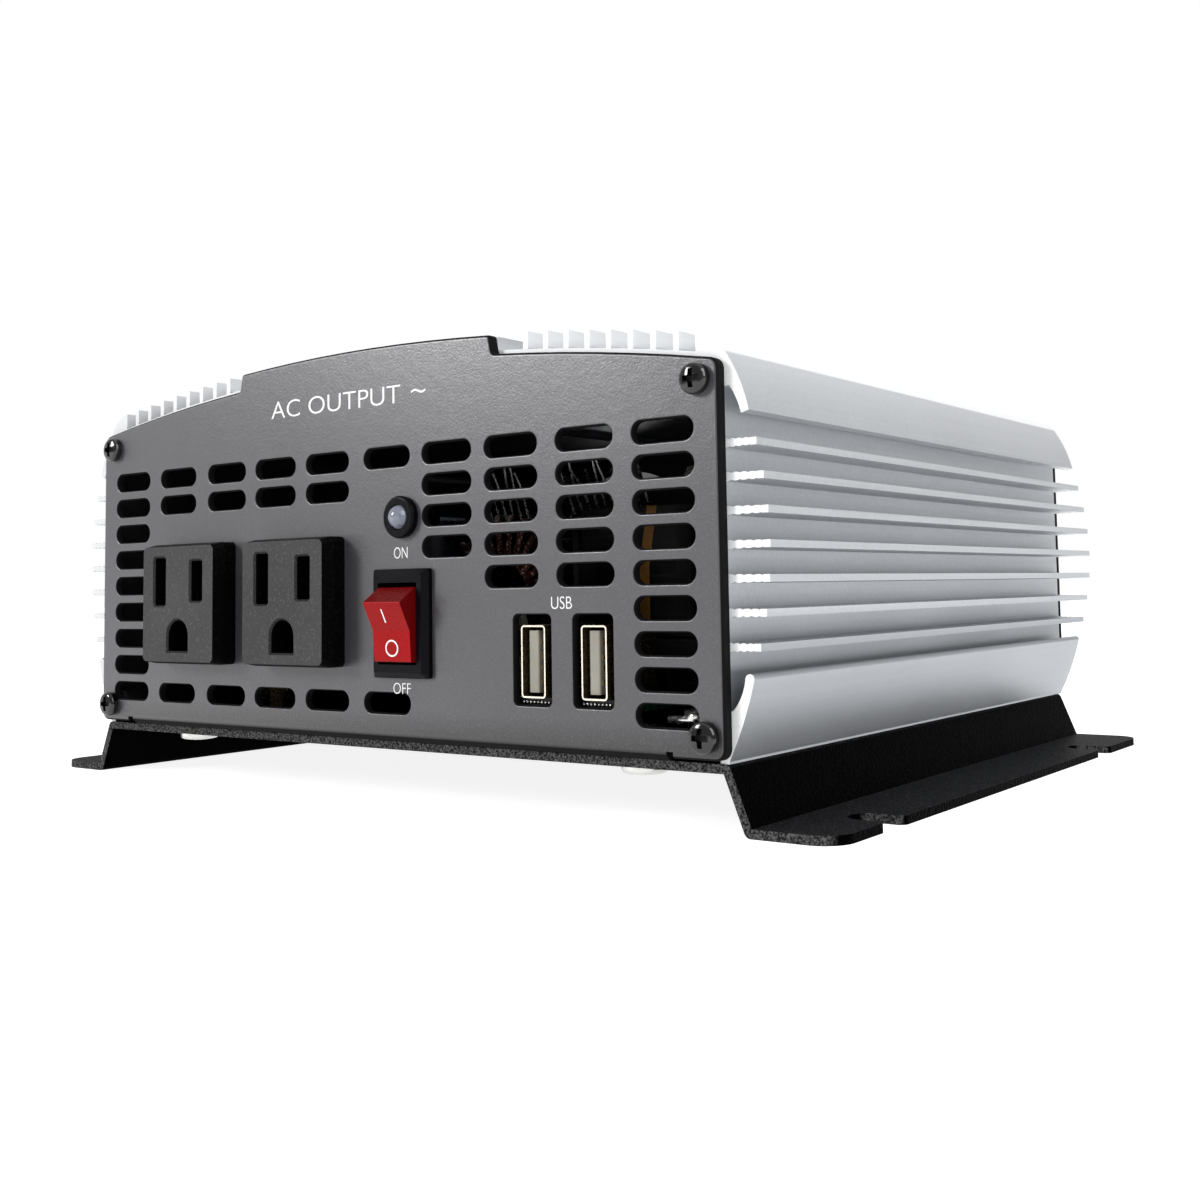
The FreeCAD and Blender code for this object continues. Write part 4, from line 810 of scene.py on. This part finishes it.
def make_camera():
    """A low three-quarter view of the outlet end from its right."""
    data = bpy.data.cameras.new("camera")
    data.sensor_width = CAMERA_SENSOR
    data.lens = CAMERA_LENS
    data.shift_x, data.shift_y = CAMERA_SHIFT
    data.clip_start, data.clip_end = 0.01, 50.0
    camera = new_object("camera", data)
    turn = Matrix.Rotation(math.radians(CAMERA_TURN), 4, "Z")
    rise = Matrix.Rotation(math.radians(90 + CAMERA_RISE), 4, "X")
    roll = Matrix.Rotation(math.radians(CAMERA_ROLL), 4, "Z")
    camera.matrix_world = Matrix.Translation(CAMERA_PLACE) @ turn @ rise @ roll
    bpy.context.scene.camera = camera


def area_light(name, place, size, power):
    """A rectangular soft light that faces the target."""
    data = bpy.data.lights.new(name, "AREA")
    data.shape = "RECTANGLE"
    data.size, data.size_y = size
    data.energy = power
    light = new_object(name, data)
    light.location = place
    light.rotation_euler = (Vector(LIGHT_TARGET) - Vector(place)).to_track_quat("-Z", "Y").to_euler()


def make_world():
    """A white surround behind and above the object that falls off towards the front and the right."""
    world = bpy.data.worlds.new("studio")
    world.use_nodes = True
    tree = world.node_tree
    place = tree.nodes.new("ShaderNodeTexCoord").outputs["Generated"]

    def ramp(value, low, high, to_low, to_high):
        node = tree.nodes.new("ShaderNodeMapRange")
        tree.links.new(value, node.inputs["Value"])
        for name, number in (("From Min", low), ("From Max", high), ("To Min", to_low), ("To Max", to_high)):
            node.inputs[name].default_value = number
        return node.outputs["Result"]

    across = tree.nodes.new("ShaderNodeVectorMath")
    across.operation = "DOT_PRODUCT"
    across.inputs[1].default_value = BACKDROP_HEADING
    tree.links.new(place, across.inputs[0])
    parts = tree.nodes.new("ShaderNodeSeparateXYZ")
    tree.links.new(place, parts.inputs["Vector"])
    brighter = tree.nodes.new("ShaderNodeMath")
    brighter.operation = "MAXIMUM"
    tree.links.new(ramp(across.outputs["Value"], *SURROUND_ACROSS), brighter.inputs[0])
    tree.links.new(ramp(parts.outputs["Z"], *SURROUND_UP), brighter.inputs[1])
    background = tree.nodes["Background"]
    tree.links.new(brighter.outputs["Value"], background.inputs["Strength"])
    background.inputs["Color"].default_value = WHITE
    bpy.context.scene.world = world


def make_lights():
    """Every light, aimed at the object's middle."""
    for row in LIGHTS:
        area_light(*row)


def make_floor():
    """A round sheet of white paper that glows a little, so that its shadows stay light."""
    mesh = bpy.data.meshes.new("studio_floor")
    form = bmesh.new()
    bmesh.ops.create_circle(form, cap_ends=True, segments=96, radius=FLOOR_RADIUS)
    form.to_mesh(mesh)
    form.free()
    floor = new_object("studio_floor", mesh)
    g = Graph("studio_paper")
    color = g.mottle(g.noise(30, 3.0), (0.40, 0.40, 0.40), (0.42, 0.42, 0.42))
    mesh.materials.append(g.set(color=color, rough=0.75, glow_color=WHITE, glow=FLOOR_GLOW))


dress_cad_nodes()
soften_edges()
panel_markings()
rocker_markings()
winding_tails()
port_pins()
corner_bracket()
make_camera()
make_world()
make_lights()
make_floor()

bpy.context.scene.view_settings.view_transform = "Standard"
